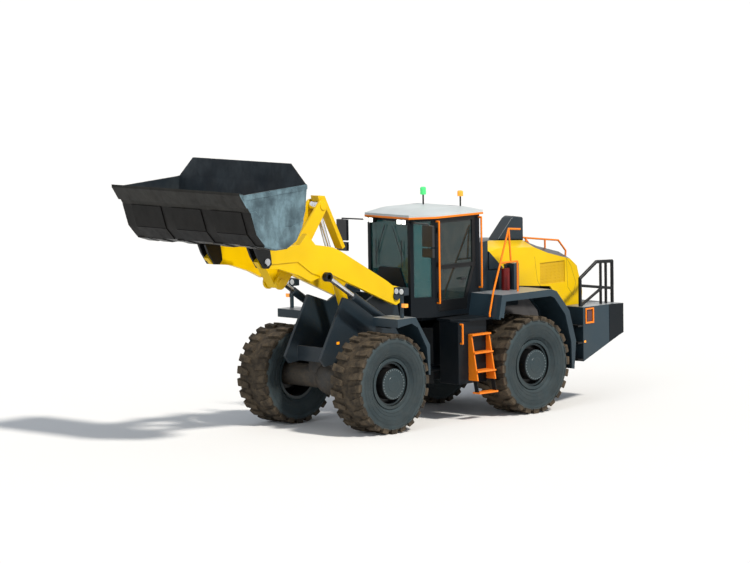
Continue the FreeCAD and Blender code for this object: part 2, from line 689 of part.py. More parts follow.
def make_coupler():
    """Quick coupler: ears on the boom tips, cross beam and link lugs."""
    seat = offset_line(BUCKET_OUTER, SEAT_GAP)
    ear_outline = [
        turned(HINGE_PIN, 130, 200), turned(HINGE_PIN, 130, 250), turned(HINGE_PIN, 130, 300),
        (2620, 3450), (2700, 3620), along(seat[6], seat[5], 120), seat[6], seat[7], (2350, 4040),
        (2330, 3640), turned(HINGE_PIN, 130, 150),
    ]
    outer = side_prism(ear_outline, ARM_OUTER_Y + FACE_GAP, ARM_OUTER_Y + FACE_GAP + 50)
    inner = side_prism(ear_outline, ARM_INNER_Y - FACE_GAP - 50, ARM_INNER_Y - FACE_GAP)
    pin = pin_y(HINGE_PIN, PIN_RADIUS, ARM_INNER_Y - FACE_GAP - 50, ARM_OUTER_Y + FACE_GAP + 70)
    pin_cap = pin_y(HINGE_PIN, PIN_RADIUS + 20, ARM_OUTER_Y + FACE_GAP + 50,
                    ARM_OUTER_Y + FACE_GAP + 66)
    beam_low = along(seat[6], seat[5], 20)
    beam_outline = [beam_low, seat[6], seat[7], (2350, 4040), (2370, 3640), (2460, 3640)]
    beam = side_prism(beam_outline, -ARM_OUTER_Y - FACE_GAP - 50, ARM_OUTER_Y + FACE_GAP + 50)
    lug_y0 = CENTRE_EYE_Y + 10
    lug_outline = [
        turned(LINK_PIN, 105, 250), turned(LINK_PIN, 105, 290), (2400, 3650), (2380, 3900),
        turned(LINK_PIN, 105, 70), turned(LINK_PIN, 105, 110), turned(LINK_PIN, 105, 150),
        turned(LINK_PIN, 105, 210),
    ]
    lug = side_prism(lug_outline, lug_y0, lug_y0 + 50)
    cap = pin_y(LINK_PIN, PIN_RADIUS + 15, lug_y0 + 50, lug_y0 + 70)
    side = [outer, inner, pin, pin_cap, lug, cap]
    keep("quick_coupler", fused(side + [mirrored(s) for s in side] + [beam]))


def cylinder_pair(base, eye, radii, barrel_length, spare, pin_radius, half_width, across):
    """Barrel and rod solids between two points; across is the pins' direction."""
    barrel_radius, rod_radius = radii
    line = eye.sub(base)
    total = line.Length
    unit = V(line).normalize()

    def on_line(distance):
        return base.add(V(unit).multiply(distance))

    eye_radius = pin_radius + EYE_WALL
    half = V(across).multiply(half_width)

    def eye_block(centre):
        return cylinder(centre.sub(half), centre.add(half), eye_radius)

    def eye_bore(centre, radius):
        reach = V(across).multiply(half_width + 20)
        return cylinder(centre.sub(reach), centre.add(reach), radius)

    floor = eye_radius + 10
    tube = pipe_between(on_line(floor), on_line(barrel_length), barrel_radius,
                        barrel_radius - CYLINDER_WALL)
    plug = cylinder(on_line(0), on_line(floor + CAP_LENGTH), barrel_radius * 0.8)
    cap = cylinder(on_line(floor), on_line(floor + CAP_LENGTH), barrel_radius)
    gland = pipe_between(on_line(barrel_length - GLAND_LENGTH), on_line(barrel_length),
                         barrel_radius + GLAND_STEP, rod_radius + RUN_FIT)
    plug = plug.common(eye_slab(base, half_width, across, barrel_radius * 4))
    barrel = fused([tube, plug, cap, gland, eye_block(base)]).cut(eye_bore(base, pin_radius + RUN_FIT))
    rod_length = total - barrel_length + spare
    rod = cylinder(on_line(total - rod_length), eye, rod_radius)
    piston = cylinder(on_line(total - rod_length), on_line(total - rod_length + PISTON_LENGTH),
                      barrel_radius - CYLINDER_WALL - SEAT_GAP)
    rod = fused([rod, piston, eye_block(eye)]).cut(eye_bore(eye, pin_radius))
    return barrel, rod


def eye_slab(centre, half_width, across, reach):
    """Slab as thick as the eye, used to keep the barrel's foot between its lugs."""
    if abs(across.y) > 0.5:
        return box(centre.x - reach, centre.x + reach, centre.y - half_width, centre.y + half_width,
                   centre.z - reach, centre.z + reach)
    return box(centre.x - reach, centre.x + reach, centre.y - reach, centre.y + reach,
               centre.z - half_width, centre.z + half_width)


def make_lift_cylinders():
    """Lift cylinders under both boom arms."""
    barrel, rod = cylinder_pair(front_point(LIFT_BASE, LIFT_Y), front_point(LIFT_EYE, LIFT_Y),
                                (LIFT_BARREL_RADIUS, LIFT_ROD_RADIUS), LIFT_BARREL_LENGTH,
                                LIFT_STROKE_SPARE, PIN_RADIUS, LIFT_EYE_WIDTH / 2, V(0, 1, 0))
    keep("lift_barrels", both_sides(barrel))
    keep("lift_rods", both_sides(rod))


def make_tilt_cylinder():
    """Tilt cylinder on the centre line with the guard that rides on its rod."""
    base = front_point(TILT_BASE)
    eye = front_point(CRANK_TOP)
    barrel, rod = cylinder_pair(base, eye, (TILT_BARREL_RADIUS, TILT_ROD_RADIUS),
                                TILT_BARREL_LENGTH, TILT_STROKE_SPARE, PIN_RADIUS, CENTRE_EYE_Y,
                                V(0, 1, 0))
    keep("tilt_barrel", barrel)
    keep("tilt_rod", rod)
    guard_top = along(CRANK_TOP, TILT_BASE, -(PIN_RADIUS + EYE_WALL))
    channel = side_prism([guard_top, (guard_top[0] + 20, guard_top[1] + 110), (230, 4390),
                          (-290, 3390), (-215, 3355), (240, 4230)], -100, 100)
    eye_clear = pin_y(CRANK_TOP, PIN_RADIUS + EYE_WALL, -130, 130)
    keep("tilt_guard", channel.cut(eye_clear))


def make_steer_cylinders():
    """Steering cylinders beside the hitch."""
    base_x = REAR_AXLE_X + STEER_BASE[0]
    base = V(base_x, STEER_BASE[1], STEER_Z)
    eye = V(at_front(STEER_EYE[0]), STEER_EYE[1], STEER_Z)
    barrel, rod = cylinder_pair(base, eye, (STEER_BARREL_RADIUS, STEER_ROD_RADIUS),
                                STEER_BARREL_LENGTH, STEER_STROKE_SPARE, STEER_PIN_RADIUS, 40,
                                V(0, 0, 1))
    keep("steer_barrel_left", barrel)
    keep("steer_rod_left", rod)
    keep("steer_barrel_right", mirrored(barrel))
    keep("steer_rod_right", mirrored(rod))


def make_rear_frame():
    """Rails, cross members, hitch clevis and cab cross plate: the machine's backbone."""
    rail_outline = [
        (hitch(-420), 1180), (hitch(-420), 1700), (hitch(-570), PLATE_Z - 40),
        (-3250, PLATE_Z - 40), (-3450, RAIL_TOP_Z), (tail(-5560), RAIL_TOP_Z),
        (tail(-5560), RAIL_BOTTOM_Z + 100), (rear(-440), RAIL_BOTTOM_Z + 100), (rear(-390), 1190),
        (rear(380), 1190), (rear(460), RAIL_BOTTOM_Z), (hitch(-670), RAIL_BOTTOM_Z - 300),
        (hitch(-420), RAIL_BOTTOM_Z - 300),
    ]
    rail = side_prism(rail_outline, RAIL_INNER_Y, RAIL_INNER_Y + RAIL_PLATE)
    belly = box(at_front(rear(560)), at_front(hitch(-470)), -RAIL_INNER_Y, RAIL_INNER_Y, 1180, 1240)
    cab_plate = box(at_front(-3250), at_front(-2450), -780, 780, PLATE_Z - 40, PLATE_Z)
    cab_block = box(at_front(-3150), at_front(-1800), -600, 600, PLATE_Z, CAB_FLOOR_Z)
    rear_tie = box(at_front(tail(-5500)), at_front(tail(-5440)), -RAIL_INNER_Y, RAIL_INNER_Y, 1100,
                   1500)
    mid_tie = box(at_front(rear(-700)), at_front(rear(-640)), -RAIL_INNER_Y, RAIL_INNER_Y, 1100,
                  ENGINE_Z)
    outer_y = RAIL_INNER_Y + RAIL_PLATE
    bulkhead_half = COWL_HALF_WIDTH - COWL_WALL - SEAT_GAP
    bulkhead = box(at_front(-3300), at_front(-3270), -bulkhead_half, bulkhead_half, 1700, 2700)
    head = plan_prism([(hitch(-420), -outer_y), (hitch(-420), outer_y), (hitch(-270), 210),
                       (hitch(-200), 210), (hitch(-200), -210), (hitch(-270), -210)], 620, 1700)
    steer_ears = []
    for sign in (1, -1):
        start = STEER_Z + sign * (40 + FACE_GAP)
        steer_ears.append(box(REAR_AXLE_X + STEER_BASE[0] - 90, REAR_AXLE_X + STEER_BASE[0] + 75,
                              RAIL_INNER_Y + RAIL_PLATE, STEER_BASE[1] + 80, start,
                              start + sign * 30))
    steer_pin = cylinder(V(REAR_AXLE_X + STEER_BASE[0], STEER_BASE[1], STEER_Z - 75),
                         V(REAR_AXLE_X + STEER_BASE[0], STEER_BASE[1], STEER_Z + 75),
                         STEER_PIN_RADIUS)
    steer_web = box(REAR_AXLE_X + STEER_BASE[0] - 90, REAR_AXLE_X + STEER_BASE[0] - 75,
                    RAIL_INNER_Y + RAIL_PLATE, STEER_BASE[1] + 80, STEER_Z - 75, STEER_Z + 75)
    lugs = []
    for z in (HITCH_UPPER_Z, HITCH_LOWER_Z):
        for sign in (1, -1):
            near = z + sign * (HITCH_LUG / 2 + FACE_GAP)
            far = near + sign * 60
            lug = box(at_front(hitch(-270)), HITCH_X, -HITCH_LUG_RADIUS, HITCH_LUG_RADIUS, near,
                      far)
            eye = cylinder(V(HITCH_X, 0, min(near, far)), V(HITCH_X, 0, max(near, far)),
                           HITCH_LUG_RADIUS)
            lugs.append(lug.fuse(eye))
        reach = HITCH_LUG / 2 + FACE_GAP + 60
        lugs.append(cylinder(V(HITCH_X, 0, z - reach), V(HITCH_X, 0, z + reach), HITCH_PIN_RADIUS))
    side = [rail] + steer_ears + [steer_pin, steer_web]
    pieces = side + [mirrored(s) for s in side]
    pieces += [belly, cab_plate, cab_block, rear_tie, mid_tie, bulkhead, head] + lugs
    keep("rear_frame", fused(pieces))


def make_engine():
    """Engine as one plain block with the cooling pack behind it."""
    front = at_front(tail(ENGINE_FRONT_X))
    back = front - ENGINE_LENGTH * TAIL_STRETCH
    engine = box(back, front, -RAIL_INNER_Y, RAIL_INNER_Y, ENGINE_Z, RAIL_TOP_Z)
    upper = box(back, front, -ENGINE_WIDTH / 2, ENGINE_WIDTH / 2, RAIL_TOP_Z,
                RAIL_TOP_Z + ENGINE_HEIGHT)
    cooler = box(at_front(tail(-5600)), at_front(tail(-5340)), -600, 600, RAIL_TOP_Z, 2550)
    keep("engine_block", fused([engine, upper]))
    keep("cooling_pack", cooler)


def cab_plan(inset):
    """Half outline of the cab from the front centre to the rear, moved inwards."""
    return [
        (CAB_FRONT_X - inset, CAB_FRONT_HALF - inset * 0.5),
        (CAB_CORNER_X - inset * 0.3, CAB_HALF_WIDTH - inset),
        (CAB_REAR_X + inset, CAB_HALF_WIDTH - inset),
    ]


def full_plan(inset):
    """Closed outline of the cab."""
    half = cab_plan(inset)
    return half + [(x, -y) for x, y in reversed(half)]


def make_cab():
    """Floor, lower walls, posts, rear wall and header of the cab."""
    outer = plan_prism(full_plan(0), CAB_FLOOR_Z, CAB_TOP_Z)
    inner = plan_prism(full_plan(CAB_WALL), CAB_FLOOR_Z + CAB_WALL, CAB_TOP_Z - CAB_WALL)
    shell = outer.cut(inner)
    front_window = end_prism([(-270, 2900), (-CAB_FRONT_HALF + POST, CAB_SILL_Z + 60),
                              (-CAB_FRONT_HALF + POST, CAB_TOP_Z - 70),
                              (CAB_FRONT_HALF - POST, CAB_TOP_Z - 70),
                              (CAB_FRONT_HALF - POST, CAB_SILL_Z + 60), (270, 2900)],
                             CAB_FRONT_X - 150, CAB_FRONT_X + 50)
    rear_window = box(at_front(CAB_REAR_X - 50), at_front(CAB_REAR_X + CAB_WALL + 20), -620, 620,
                      2850, CAB_TOP_Z - 120)
    side_window = box(at_front(DOOR_REAR_X + 60), at_front(DOOR_FRONT_X - 60), -CAB_HALF_WIDTH - 50,
                      -CAB_HALF_WIDTH + CAB_WALL + 20, CAB_SILL_Z + 30, CAB_TOP_Z - 100)
    door_hole = side_prism(door_outline(DOOR_GAP), CAB_HALF_WIDTH - CAB_WALL - 20,
                           CAB_HALF_WIDTH + 50)
    quarter = quarter_window()
    shell = shell.cut(front_window).cut(rear_window).cut(side_window).cut(door_hole)
    shell = shell.cut(quarter).cut(mirrored(quarter))
    keep("cab_shell", fused([shell] + [door_hinge(z)[0] for z in DOOR_HINGE_Z]))


def door_hinge(z):
    """One hinge of the cab door: the shell's knuckle with its pin, and the door's knuckle."""
    pin_x = at_front(DOOR_PIN[0])
    pin_y0 = DOOR_PIN[1]
    split = z + DOOR_KNUCKLE_HEIGHT
    top = split + SEAT_GAP + DOOR_KNUCKLE_HEIGHT
    fixed = cylinder(V(pin_x, pin_y0, z), V(pin_x, pin_y0, split), DOOR_KNUCKLE)
    pin = cylinder(V(pin_x, pin_y0, z), V(pin_x, pin_y0, top), DOOR_PIN_RADIUS)
    pad = box(pin_x, pin_x + 22, CAB_HALF_WIDTH, pin_y0, z, split)
    moving = cylinder(V(pin_x, pin_y0, split + SEAT_GAP), V(pin_x, pin_y0, top), DOOR_KNUCKLE)
    strap = box(pin_x - 90, pin_x, CAB_HALF_WIDTH, CAB_HALF_WIDTH + 10, split + SEAT_GAP, top)
    bore = cylinder(V(pin_x, pin_y0, z), V(pin_x, pin_y0, top + 1), DOOR_PIN_RADIUS + RUN_FIT)
    return fused([fixed, pin, pad]), fused([moving, strap]).cut(bore)


def quarter_point(run, push):
    """Point on the slanted side of the cab's front, and that side's outward normal."""
    across = CAB_HALF_WIDTH - CAB_FRONT_HALF
    back = CAB_CORNER_X - CAB_FRONT_X
    length = math.hypot(back, across)
    ux, uy = back / length, across / length
    normal = (uy, -ux)
    x = CAB_FRONT_X + ux * run + normal[0] * push
    y = CAB_FRONT_HALF + uy * run + normal[1] * push
    return (x, y), normal


def quarter_window():
    """Opening of the slanted pane between the front post and the side corner."""
    length = math.hypot(CAB_HALF_WIDTH - CAB_FRONT_HALF, CAB_CORNER_X - CAB_FRONT_X)
    corners = []
    for run, push in ((POST, 60), (length - POST, 60), (length - POST, -120), (POST, -120)):
        corners.append(quarter_point(run, push)[0])
    return plan_prism(corners, CAB_SILL_Z + 60, CAB_TOP_Z - 70)


def make_cab_glass():
    """Fixed panes, each set just inside its opening."""
    inset = CAB_WALL / 2
    band = plan_prism(full_plan(inset), CAB_FLOOR_Z + 100, CAB_TOP_Z)
    band = band.cut(plan_prism(full_plan(inset + GLASS), CAB_FLOOR_Z, CAB_TOP_Z + 10))
    margin = SEAT_GAP
    front = end_prism([(-270, 2900 + margin), (-CAB_FRONT_HALF + POST + margin, CAB_SILL_Z + 61),
                       (-CAB_FRONT_HALF + POST + margin, CAB_TOP_Z - 70 - margin),
                       (CAB_FRONT_HALF - POST - margin, CAB_TOP_Z - 70 - margin),
                       (CAB_FRONT_HALF - POST - margin, CAB_SILL_Z + 61), (270, 2900 + margin)],
                      CAB_FRONT_X - 60, CAB_FRONT_X + 50)
    rear = box(at_front(CAB_REAR_X - 50), at_front(CAB_REAR_X + 60), -620 + margin, 620 - margin,
               2850 + margin, CAB_TOP_Z - 120 - margin)
    side = box(at_front(DOOR_REAR_X + 60 + margin), at_front(DOOR_FRONT_X - 60 - margin),
               -CAB_HALF_WIDTH - 50, -CAB_HALF_WIDTH + 60, CAB_SILL_Z + 30 + margin,
               CAB_TOP_Z - 100 - margin)
    quarter = quarter_window()
    quarters = [quarter, mirrored(quarter)]
    panes = [band.common(tool) for tool in [front, rear, side] + quarters]
    keep("cab_glass", [pane.Solids[0] for pane in panes])


def make_cab_roof():
    """Roof slab with a shallow crown and the rail that frames its edge."""
    edge = plan_prism(full_plan(-ROOF_OVERHANG), CAB_TOP_Z, CAB_TOP_Z + ROOF_EDGE)
    low = [V(at_front(x), y, CAB_TOP_Z + ROOF_EDGE) for x, y in full_plan(-ROOF_OVERHANG + 20)]
    high = [V(at_front(x), y, CAB_TOP_Z + ROOF_EDGE + ROOF_RISE) for x, y in full_plan(220)]
    crown = Part.makeLoft([Part.makePolygon(low + [low[0]]), Part.makePolygon(high + [high[0]])],
                          True, True)
    trim_top = TRIM_LOW_Z + TRIM_HEIGHT
    trim = plan_prism(full_plan(-TRIM_OVERHANG), TRIM_LOW_Z, trim_top)
    trim = trim.cut(plan_prism(full_plan(-SEAT_GAP), TRIM_LOW_Z, CAB_TOP_Z))
    keep("cab_roof", fused([edge, crown, trim]))


def make_roof_lamps():
    """Work lamps under the roof's edges and two beacons on its top."""
    lamps = []
    low, high = WORK_LAMP_Z
    for face_x, out in ((CAB_FRONT_X + SEAT_GAP, 1), (CAB_REAR_X - SEAT_GAP, -1)):
        for y in (-WORK_LAMP_Y[1], -WORK_LAMP_Y[0], WORK_LAMP_Y[0], WORK_LAMP_Y[1]):
            lamps.append(box(at_front(face_x), at_front(face_x + out * WORK_LAMP_DEPTH),
                             y - WORK_LAMP_HALF, y + WORK_LAMP_HALF, low, high))
    roof_z = CAB_TOP_Z + ROOF_EDGE + ROOF_RISE
    for x, y, height in ((-2800, -300, 150), (-2955, 540, 110)):
        foot = V(at_front(x), y, roof_z)
        head = V(at_front(x), y, roof_z + BEACON_POST)
        post = cylinder(foot, head, BEACON_POST_RADIUS)
        dome = cylinder(head, head.add(V(0, 0, height)), BEACON_RADIUS)
        round_top = [e for e in dome.Edges if e.BoundBox.ZMin > head.z + height - 1]
        lamps.append(fused([post, dome.makeFillet(BEACON_ROUND, round_top)]))
    keep("roof_lamps", lamps)


def door_outline(grow):
    """Door leaf seen from the side, its lower rear corner cut away above the fender."""
    front = DOOR_FRONT_X + grow
    rear = DOOR_REAR_X - grow
    knee = DOOR_LOW_REAR_X - grow
    low = DOOR_BOTTOM_Z - grow
    high = DOOR_TOP_Z + grow
    return [(front, low), (front, high), (rear, high), (rear, DOOR_WAIST_Z), (knee, DOOR_KNEE_Z),
            (knee + 40, low)]


def door_panes(grow):
    """Outlines of the door's upper and lower panes."""
    front = DOOR_FRONT_X - DOOR_FRAME + grow
    rear = DOOR_REAR_X + DOOR_FRAME - grow
    knee = DOOR_LOW_REAR_X + DOOR_FRAME - grow
    split = DOOR_FRAME / 2 - grow
    low = DOOR_BOTTOM_Z + 204 - grow
    upper = [(front, DOOR_WAIST_Z + split), (front, DOOR_TOP_Z - DOOR_FRAME + grow),
             (rear, DOOR_TOP_Z - DOOR_FRAME + grow), (rear, DOOR_WAIST_Z + split)]
    lower = [(front, low), (front, DOOR_WAIST_Z - split), (rear + 10, DOOR_WAIST_Z - split),
             (knee, DOOR_KNEE_Z), (knee + 15, low)]
    return upper, lower


def make_door():
    """Cab door frame with its two panes."""
    y1 = CAB_HALF_WIDTH
    y0 = y1 - DOOR_THICKNESS
    leaf = side_prism(door_outline(0), y0, y1)
    for outline in door_panes(0):
        leaf = leaf.cut(side_prism(outline, y0 - 10, y1 + 10))
    knuckles = [door_hinge(z)[1] for z in DOOR_HINGE_Z]
    keep("cab_door", fused([leaf] + knuckles))
    mid = (y0 + y1) / 2
    panes = [side_prism(outline, mid - GLASS / 2, mid + GLASS / 2) for outline in door_panes(-SEAT_GAP)]
    keep("door_glass", panes)


def make_cab_inside():
    """Operator's place and the steering column."""
    floor = CAB_FLOOR_Z + CAB_WALL
    base = box(at_front(-2850), at_front(-2450), -180, 180, floor, floor + 380)
    cushion = box(at_front(-2900), at_front(-2380), -260, 260, floor + 380, floor + 520)
    back = side_prism([(-2900, floor + 520), (-2780, floor + 520), (-2900, floor + 1150),
                       (-3000, floor + 1150)], -240, 240)
    keep("operator_place", fused([base, cushion, back]))
    column = cylinder(V(at_front(-1965), 0, floor + 100), V(at_front(-2080), 0, floor + 780), 45)
    foot = box(at_front(-2060), at_front(-1830), -110, 110, floor, floor + 160)
    rim_centre = V(at_front(-2080), 0, floor + 780)
    rise = V(-0.35, 0, 1).normalize().multiply(14)
    wheel = pipe_between(rim_centre.sub(rise), rim_centre.add(rise), 206, 176)
    spoke = cylinder(rim_centre.add(V(0, -185, 0)), rim_centre.add(V(0, 185, 0)), 12)
    dash = box(at_front(-1830), at_front(-1640), -230, 230, floor, floor + 800)
    keep("steering_console", fused([column, foot, wheel, spoke, dash]))


def make_platforms():
    """Decks beside the cab, rear fenders and the walkway on them."""
    front = BOX_FRONT_X + 10
    back = rear(990)
    corner = front + (back - front) * DECK_CORNER_SHARE
    deck = plan_prism([(front, DECK_INNER_Y), (front, 1100), (corner, 1380), (back, 1425),
                       (back, DECK_INNER_Y)],
                      PLATE_Z, DECK_Z)
    outer = rear_line([(990, PLATE_Z), (990, DECK_Z), (900, FENDER_TOP_Z), (-470, FENDER_TOP_Z),
                       (-620, 2300), (-970, 1900), (-1150, 1300), (-1100, 760)])
    inner = offset_line(outer, FENDER_SHEET)
    sheet = side_prism(outer + inner[::-1], 800, FENDER_OUTER_Y)
    under = rear_line([(-1100, 1290), (-930, 1850), (-580, 2200), (-440, 2260), (850, 2260),
                       (940, DECK_Z), (950, PLATE_Z)])
    cheek_outline = outer[:-1] + under
    cheek = side_prism(cheek_outline, 800, 840)
    lip_line = offset_line(outer[1:], FENDER_LIP)
    lip_line[-1] = (lip_line[-1][0] - 60, lip_line[-1][1])
    lip = side_prism(outer[1:] + lip_line[::-1], FENDER_OUTER_Y - FENDER_LIP_THICKNESS,
                     FENDER_OUTER_Y)
    keep("rear_fenders", both_sides(fused([sheet, cheek, lip])))
    keep("side_decks", both_sides(deck))


def make_boxes():
    """Tank on the left and battery box on the right, under the decks."""
    tank = box(at_front(BOX_REAR_X + 60), at_front(BOX_FRONT_X), BOX_INNER_Y, BOX_OUTER_Y,
               BOX_BOTTOM_Z, DECK_Z - DECK_THICKNESS)
    keep("side_boxes", both_sides(tank))


def make_access():
    """Ladders, deck hoops and hand rails, all round bar and folded tread."""
    sides = [BOX_REAR_X + share * BOX_LENGTH for share in LADDER_SPAN]
    wall_y = BOX_OUTER_Y + SEAT_GAP
    treads = []
    for z, inset, outer_y in LADDER_TREADS:
        treads.append(box(at_front(sides[0] - 15), at_front(sides[1] + 15), wall_y + inset,
                          outer_y, z - TREAD_THICKNESS, z))
    stringers = []
    for x in sides:
        plate = end_prism([(wall_y, 1640), (1375, 1640), (1540, 760), (wall_y, 760)],
                          x - 15, x + 15)
        strap = end_prism([(1400, 800), (1500, 800), (1560, 520), (1460, 520)], x - 8, x + 8)
        stringers += [plate, strap]
    ladder = fused(stringers + treads)
    side_y = CAB_HALF_WIDTH + SEAT_GAP
    front_rail = bent_bar([V(at_front(-2025), side_y, 3780), V(at_front(-2025), 870, 3780),
                           V(at_front(-2025), 870, 2230), V(at_front(-2025), side_y, 2230)],
                          RAIL_TUBE)
    rear_rail = bent_bar([V(at_front(-3180), side_y, 3780), V(at_front(-3180), 870, 3780),
                          V(at_front(-3180), 870, 2440), V(at_front(-3180), side_y, 2440)],
                         RAIL_TUBE)
    walk_rail = bent_bar([V(at_front(rear(1030)), 1400, DECK_Z + SEAT_GAP),
                          V(at_front(rear(1030)), 1400, DECK_Z + 60),
                          V(at_front(rear(925)), 1400, FENDER_TOP_Z + 50),
                          V(at_front(rear(380)), 1300, 3560), V(at_front(rear(60)), 1300, 3530)],
                         RAIL_TUBE)
    foot_z = FENDER_TOP_Z + SEAT_GAP
    mid_rail = bent_bar([V(at_front(rear(676)), 1354, 2930), V(at_front(rear(200)), 1354, 2930),
                         V(at_front(rear(200)), 1354, foot_z)], RAIL_TUBE)
    post = bent_bar([V(at_front(rear(380)), 1300, 3560), V(at_front(rear(380)), 1354, 2930)], RAIL_TUBE)
    walk = fused([walk_rail, mid_rail, post])
    keep("ladders", both_sides(ladder))
    grab_y = BOX_OUTER_Y + SEAT_GAP
    grab_x = at_front(BOX_FRONT_X - GRAB_SHARE * BOX_LENGTH)
    grab = bent_bar([V(grab_x, grab_y, 1840), V(grab_x, grab_y + 55, 1840),
                     V(grab_x, grab_y + 55, 1480), V(grab_x, grab_y, 1480)], RAIL_TUBE)
    keep("hand_rails", [front_rail, rear_rail] + both_sides(walk) + both_sides(grab))


def make_fender_fittings():
    """Fire extinguisher and a small cabinet standing on the left rear fender."""
    foot = FENDER_TOP_Z + SEAT_GAP
    place = V(at_front(rear(160)), 1000, foot)
    bottle = cylinder(place, place.add(V(0, 0, 420)), 80)
    neck = cylinder(place, place.add(V(0, 0, 500)), 28)
    lever = box(at_front(rear(90)), at_front(rear(200)), 985, 1015, foot + 470, foot + 490)
    cabinet = box(at_front(rear(-100)), at_front(rear(40)), 895, 1110, foot, foot + 510)
    keep("fender_fittings", [fused([bottle, neck, lever]), cabinet])


def make_mirrors():
    """Mirrors on their arms."""
    root, normal = quarter_point(POST / 2, SEAT_GAP)
    bend = (root[0] + normal[0] * 70, root[1] + normal[1] * 70)
    arm = bent_bar([V(at_front(root[0]), root[1], 3780), V(at_front(bend[0]), bend[1], 3780),
                    V(at_front(-1450), 1150, 3780), V(at_front(-1450), 1150, 3200)], 14)
    glass_box = box(at_front(-1480), at_front(-1420), 1010, 1280, 3360, 3760)
    small_box = box(at_front(-1480), at_front(-1420), 1010, 1280, 3160, 3330)
    keep("mirrors", both_sides(fused([arm, glass_box, small_box])))


HOOD_TOP = tail_line([(-3480, 3210), (-3800, 3265), (-4740, 3200), (-5130, 3060), (-5760, 2900),
                      (-5950, 2750), (-6060, 2400), (-6100, 2100)])


def sloped_shoulders(top_line, half, run, drop):
    """Wedges that take the corner off between the hood's top and its sides."""
    wedges = []
    for start, end in zip(top_line[:-2], top_line[1:-1]):
        triangle = [V(at_front(start[0]), y, start[1] + z)
                    for y, z in ((half - run, 0), (half + run / 3, -drop * 4 / 3),
                                 (half + run / 3, 200),
                                 (half - run, 200))]
        wedge = prism(triangle, V(end[0] - start[0], 0, end[1] - start[1]))
        wedges += both_sides(wedge)
    return wedges


def hood_block():
    """The hood's outside as a filled block."""
    outline = [(tail(-3480), 2750)] + HOOD_TOP + [
        (tail(-6030), 1540), (tail(-5830), 1540), (tail(-5180), 2290), (tail(-4310), 2370),
        (tail(-4130), 2480), (tail(-4130), 2700),
        (tail(-3780), 2750)]
    solid = side_prism(outline, -HOOD_HALF_WIDTH, HOOD_HALF_WIDTH)
    for wedge in sloped_shoulders(HOOD_TOP, HOOD_HALF_WIDTH, HOOD_SHOULDER, HOOD_SHOULDER_DROP):
        solid = solid.cut(wedge)
    return solid


def make_hood():
    """Yellow hood shell, hinged at its rear, open below, with vents and rails on its top."""
    solid = hood_block()
    cavity_outline = tail_line([(-3400, 2400), (-3400, 3180), (-3800, 3235), (-4735, 3170),
                                (-5120, 3030), (-5745, 2872), (-5925, 2735), (-6030, 2395),
                                (-6070, 2100), (-6000, 1400), (-3400, 1400)])
    half = HOOD_HALF_WIDTH - HOOD_WALL
    cavity = side_prism(cavity_outline, -half, half)
    for wedge in sloped_shoulders(cavity_outline[1:9], half, HOOD_SHOULDER, HOOD_SHOULDER_DROP):
        cavity = cavity.cut(wedge)
    lug = side_prism([(tail(-6060), 2060), (tail(-6060), 1930), turned(HOOD_HINGE, 35, 290),
                      turned(HOOD_HINGE, 35, 240), turned(HOOD_HINGE, 35, 180),
                      turned(HOOD_HINGE, 35, 130)], HOOD_LUG_Y, HOOD_LUG_Y + 30)
    lug = lug.cut(pin_y(HOOD_HINGE, HOOD_PIN_RADIUS + RUN_FIT, HOOD_LUG_Y - 10, HOOD_LUG_Y + 40))
    recess = box(at_front(VENT_REAR_X), at_front(VENT_FRONT_X), HOOD_HALF_WIDTH - VENT_RECESS,
                 HOOD_HALF_WIDTH + VENT_RECESS, VENT_LOW_Z, VENT_HIGH_Z)
    slots = [recess, mirrored(recess)]
    pitch_x = (VENT_FRONT_X - VENT_REAR_X) / VENT_COLUMNS
    pitch_z = (VENT_HIGH_Z - VENT_LOW_Z) / VENT_ROWS
    for column in range(VENT_COLUMNS):
        for row in range(VENT_ROWS):
            x = at_front(VENT_REAR_X + (column + 0.5) * pitch_x)
            z = VENT_LOW_Z + (row + 0.5) * pitch_z
            slots.append(box(x - VENT_SLOT[0] / 2, x + VENT_SLOT[0] / 2, -HOOD_HALF_WIDTH - 50,
                             HOOD_HALF_WIDTH + 50, z - VENT_SLOT[1] / 2, z + VENT_SLOT[1] / 2))
    shell = solid.cut(cavity).cut(Part.makeCompound(slots))
    keep("hood", fused([shell, lug, mirrored(lug)]))


def make_hood_rails():
    """Rails along the hood's top, standing on it."""
    rails = []
    for y in (450, -450):
        line = tail_line([(-4860, 3000), (-4860, 3235), (-5780, 3120), (-5990, 2900),
                          (-5960, 2600)])
        rail = bent_bar([V(at_front(x), y, z) for x, z in line], RAIL_TUBE)
        post_x = at_front(tail(-5400))
        post = cylinder(V(post_x, y, 2900), V(post_x, y, 3165), RAIL_TUBE)
        rails.append(fused([rail, post]).cut(hood_filled()))
    keep("hood_rails", rails)


def hood_filled():
    """Everything below the hood's top, for pieces that stand on it."""
    below = [(HOOD_TOP[0][0], 2000)] + HOOD_TOP + [(HOOD_TOP[-1][0], 2000)]
    return side_prism(below, -HOOD_HALF_WIDTH, HOOD_HALF_WIDTH)


def make_shroud():
    """Fixed dark cowl between the cab and the hood."""
    outline = tail_line([(CAB_BACK_X, 2000), (CAB_BACK_X, 3290), (-3470, 3300), (-3470, 2740),
                         (-3780, 2740), (-4120, 2690), (-4120, 2480), (-4300, 2360),
                         (-4300, 2000)])
    solid = side_prism(outline, -COWL_HALF_WIDTH, COWL_HALF_WIDTH)
    half = COWL_HALF_WIDTH - COWL_WALL
    cavity_x = CAB_BACK_X - COWL_WALL
    cavity = side_prism([(cavity_x, 1900), (cavity_x, 3260)]
                        + tail_line([(-3440, 3260), (-3440, 3400), (-4400, 3400), (-4400, 1900)]),
                        -half, half)
    keep("front_cowl", solid.cut(cavity))


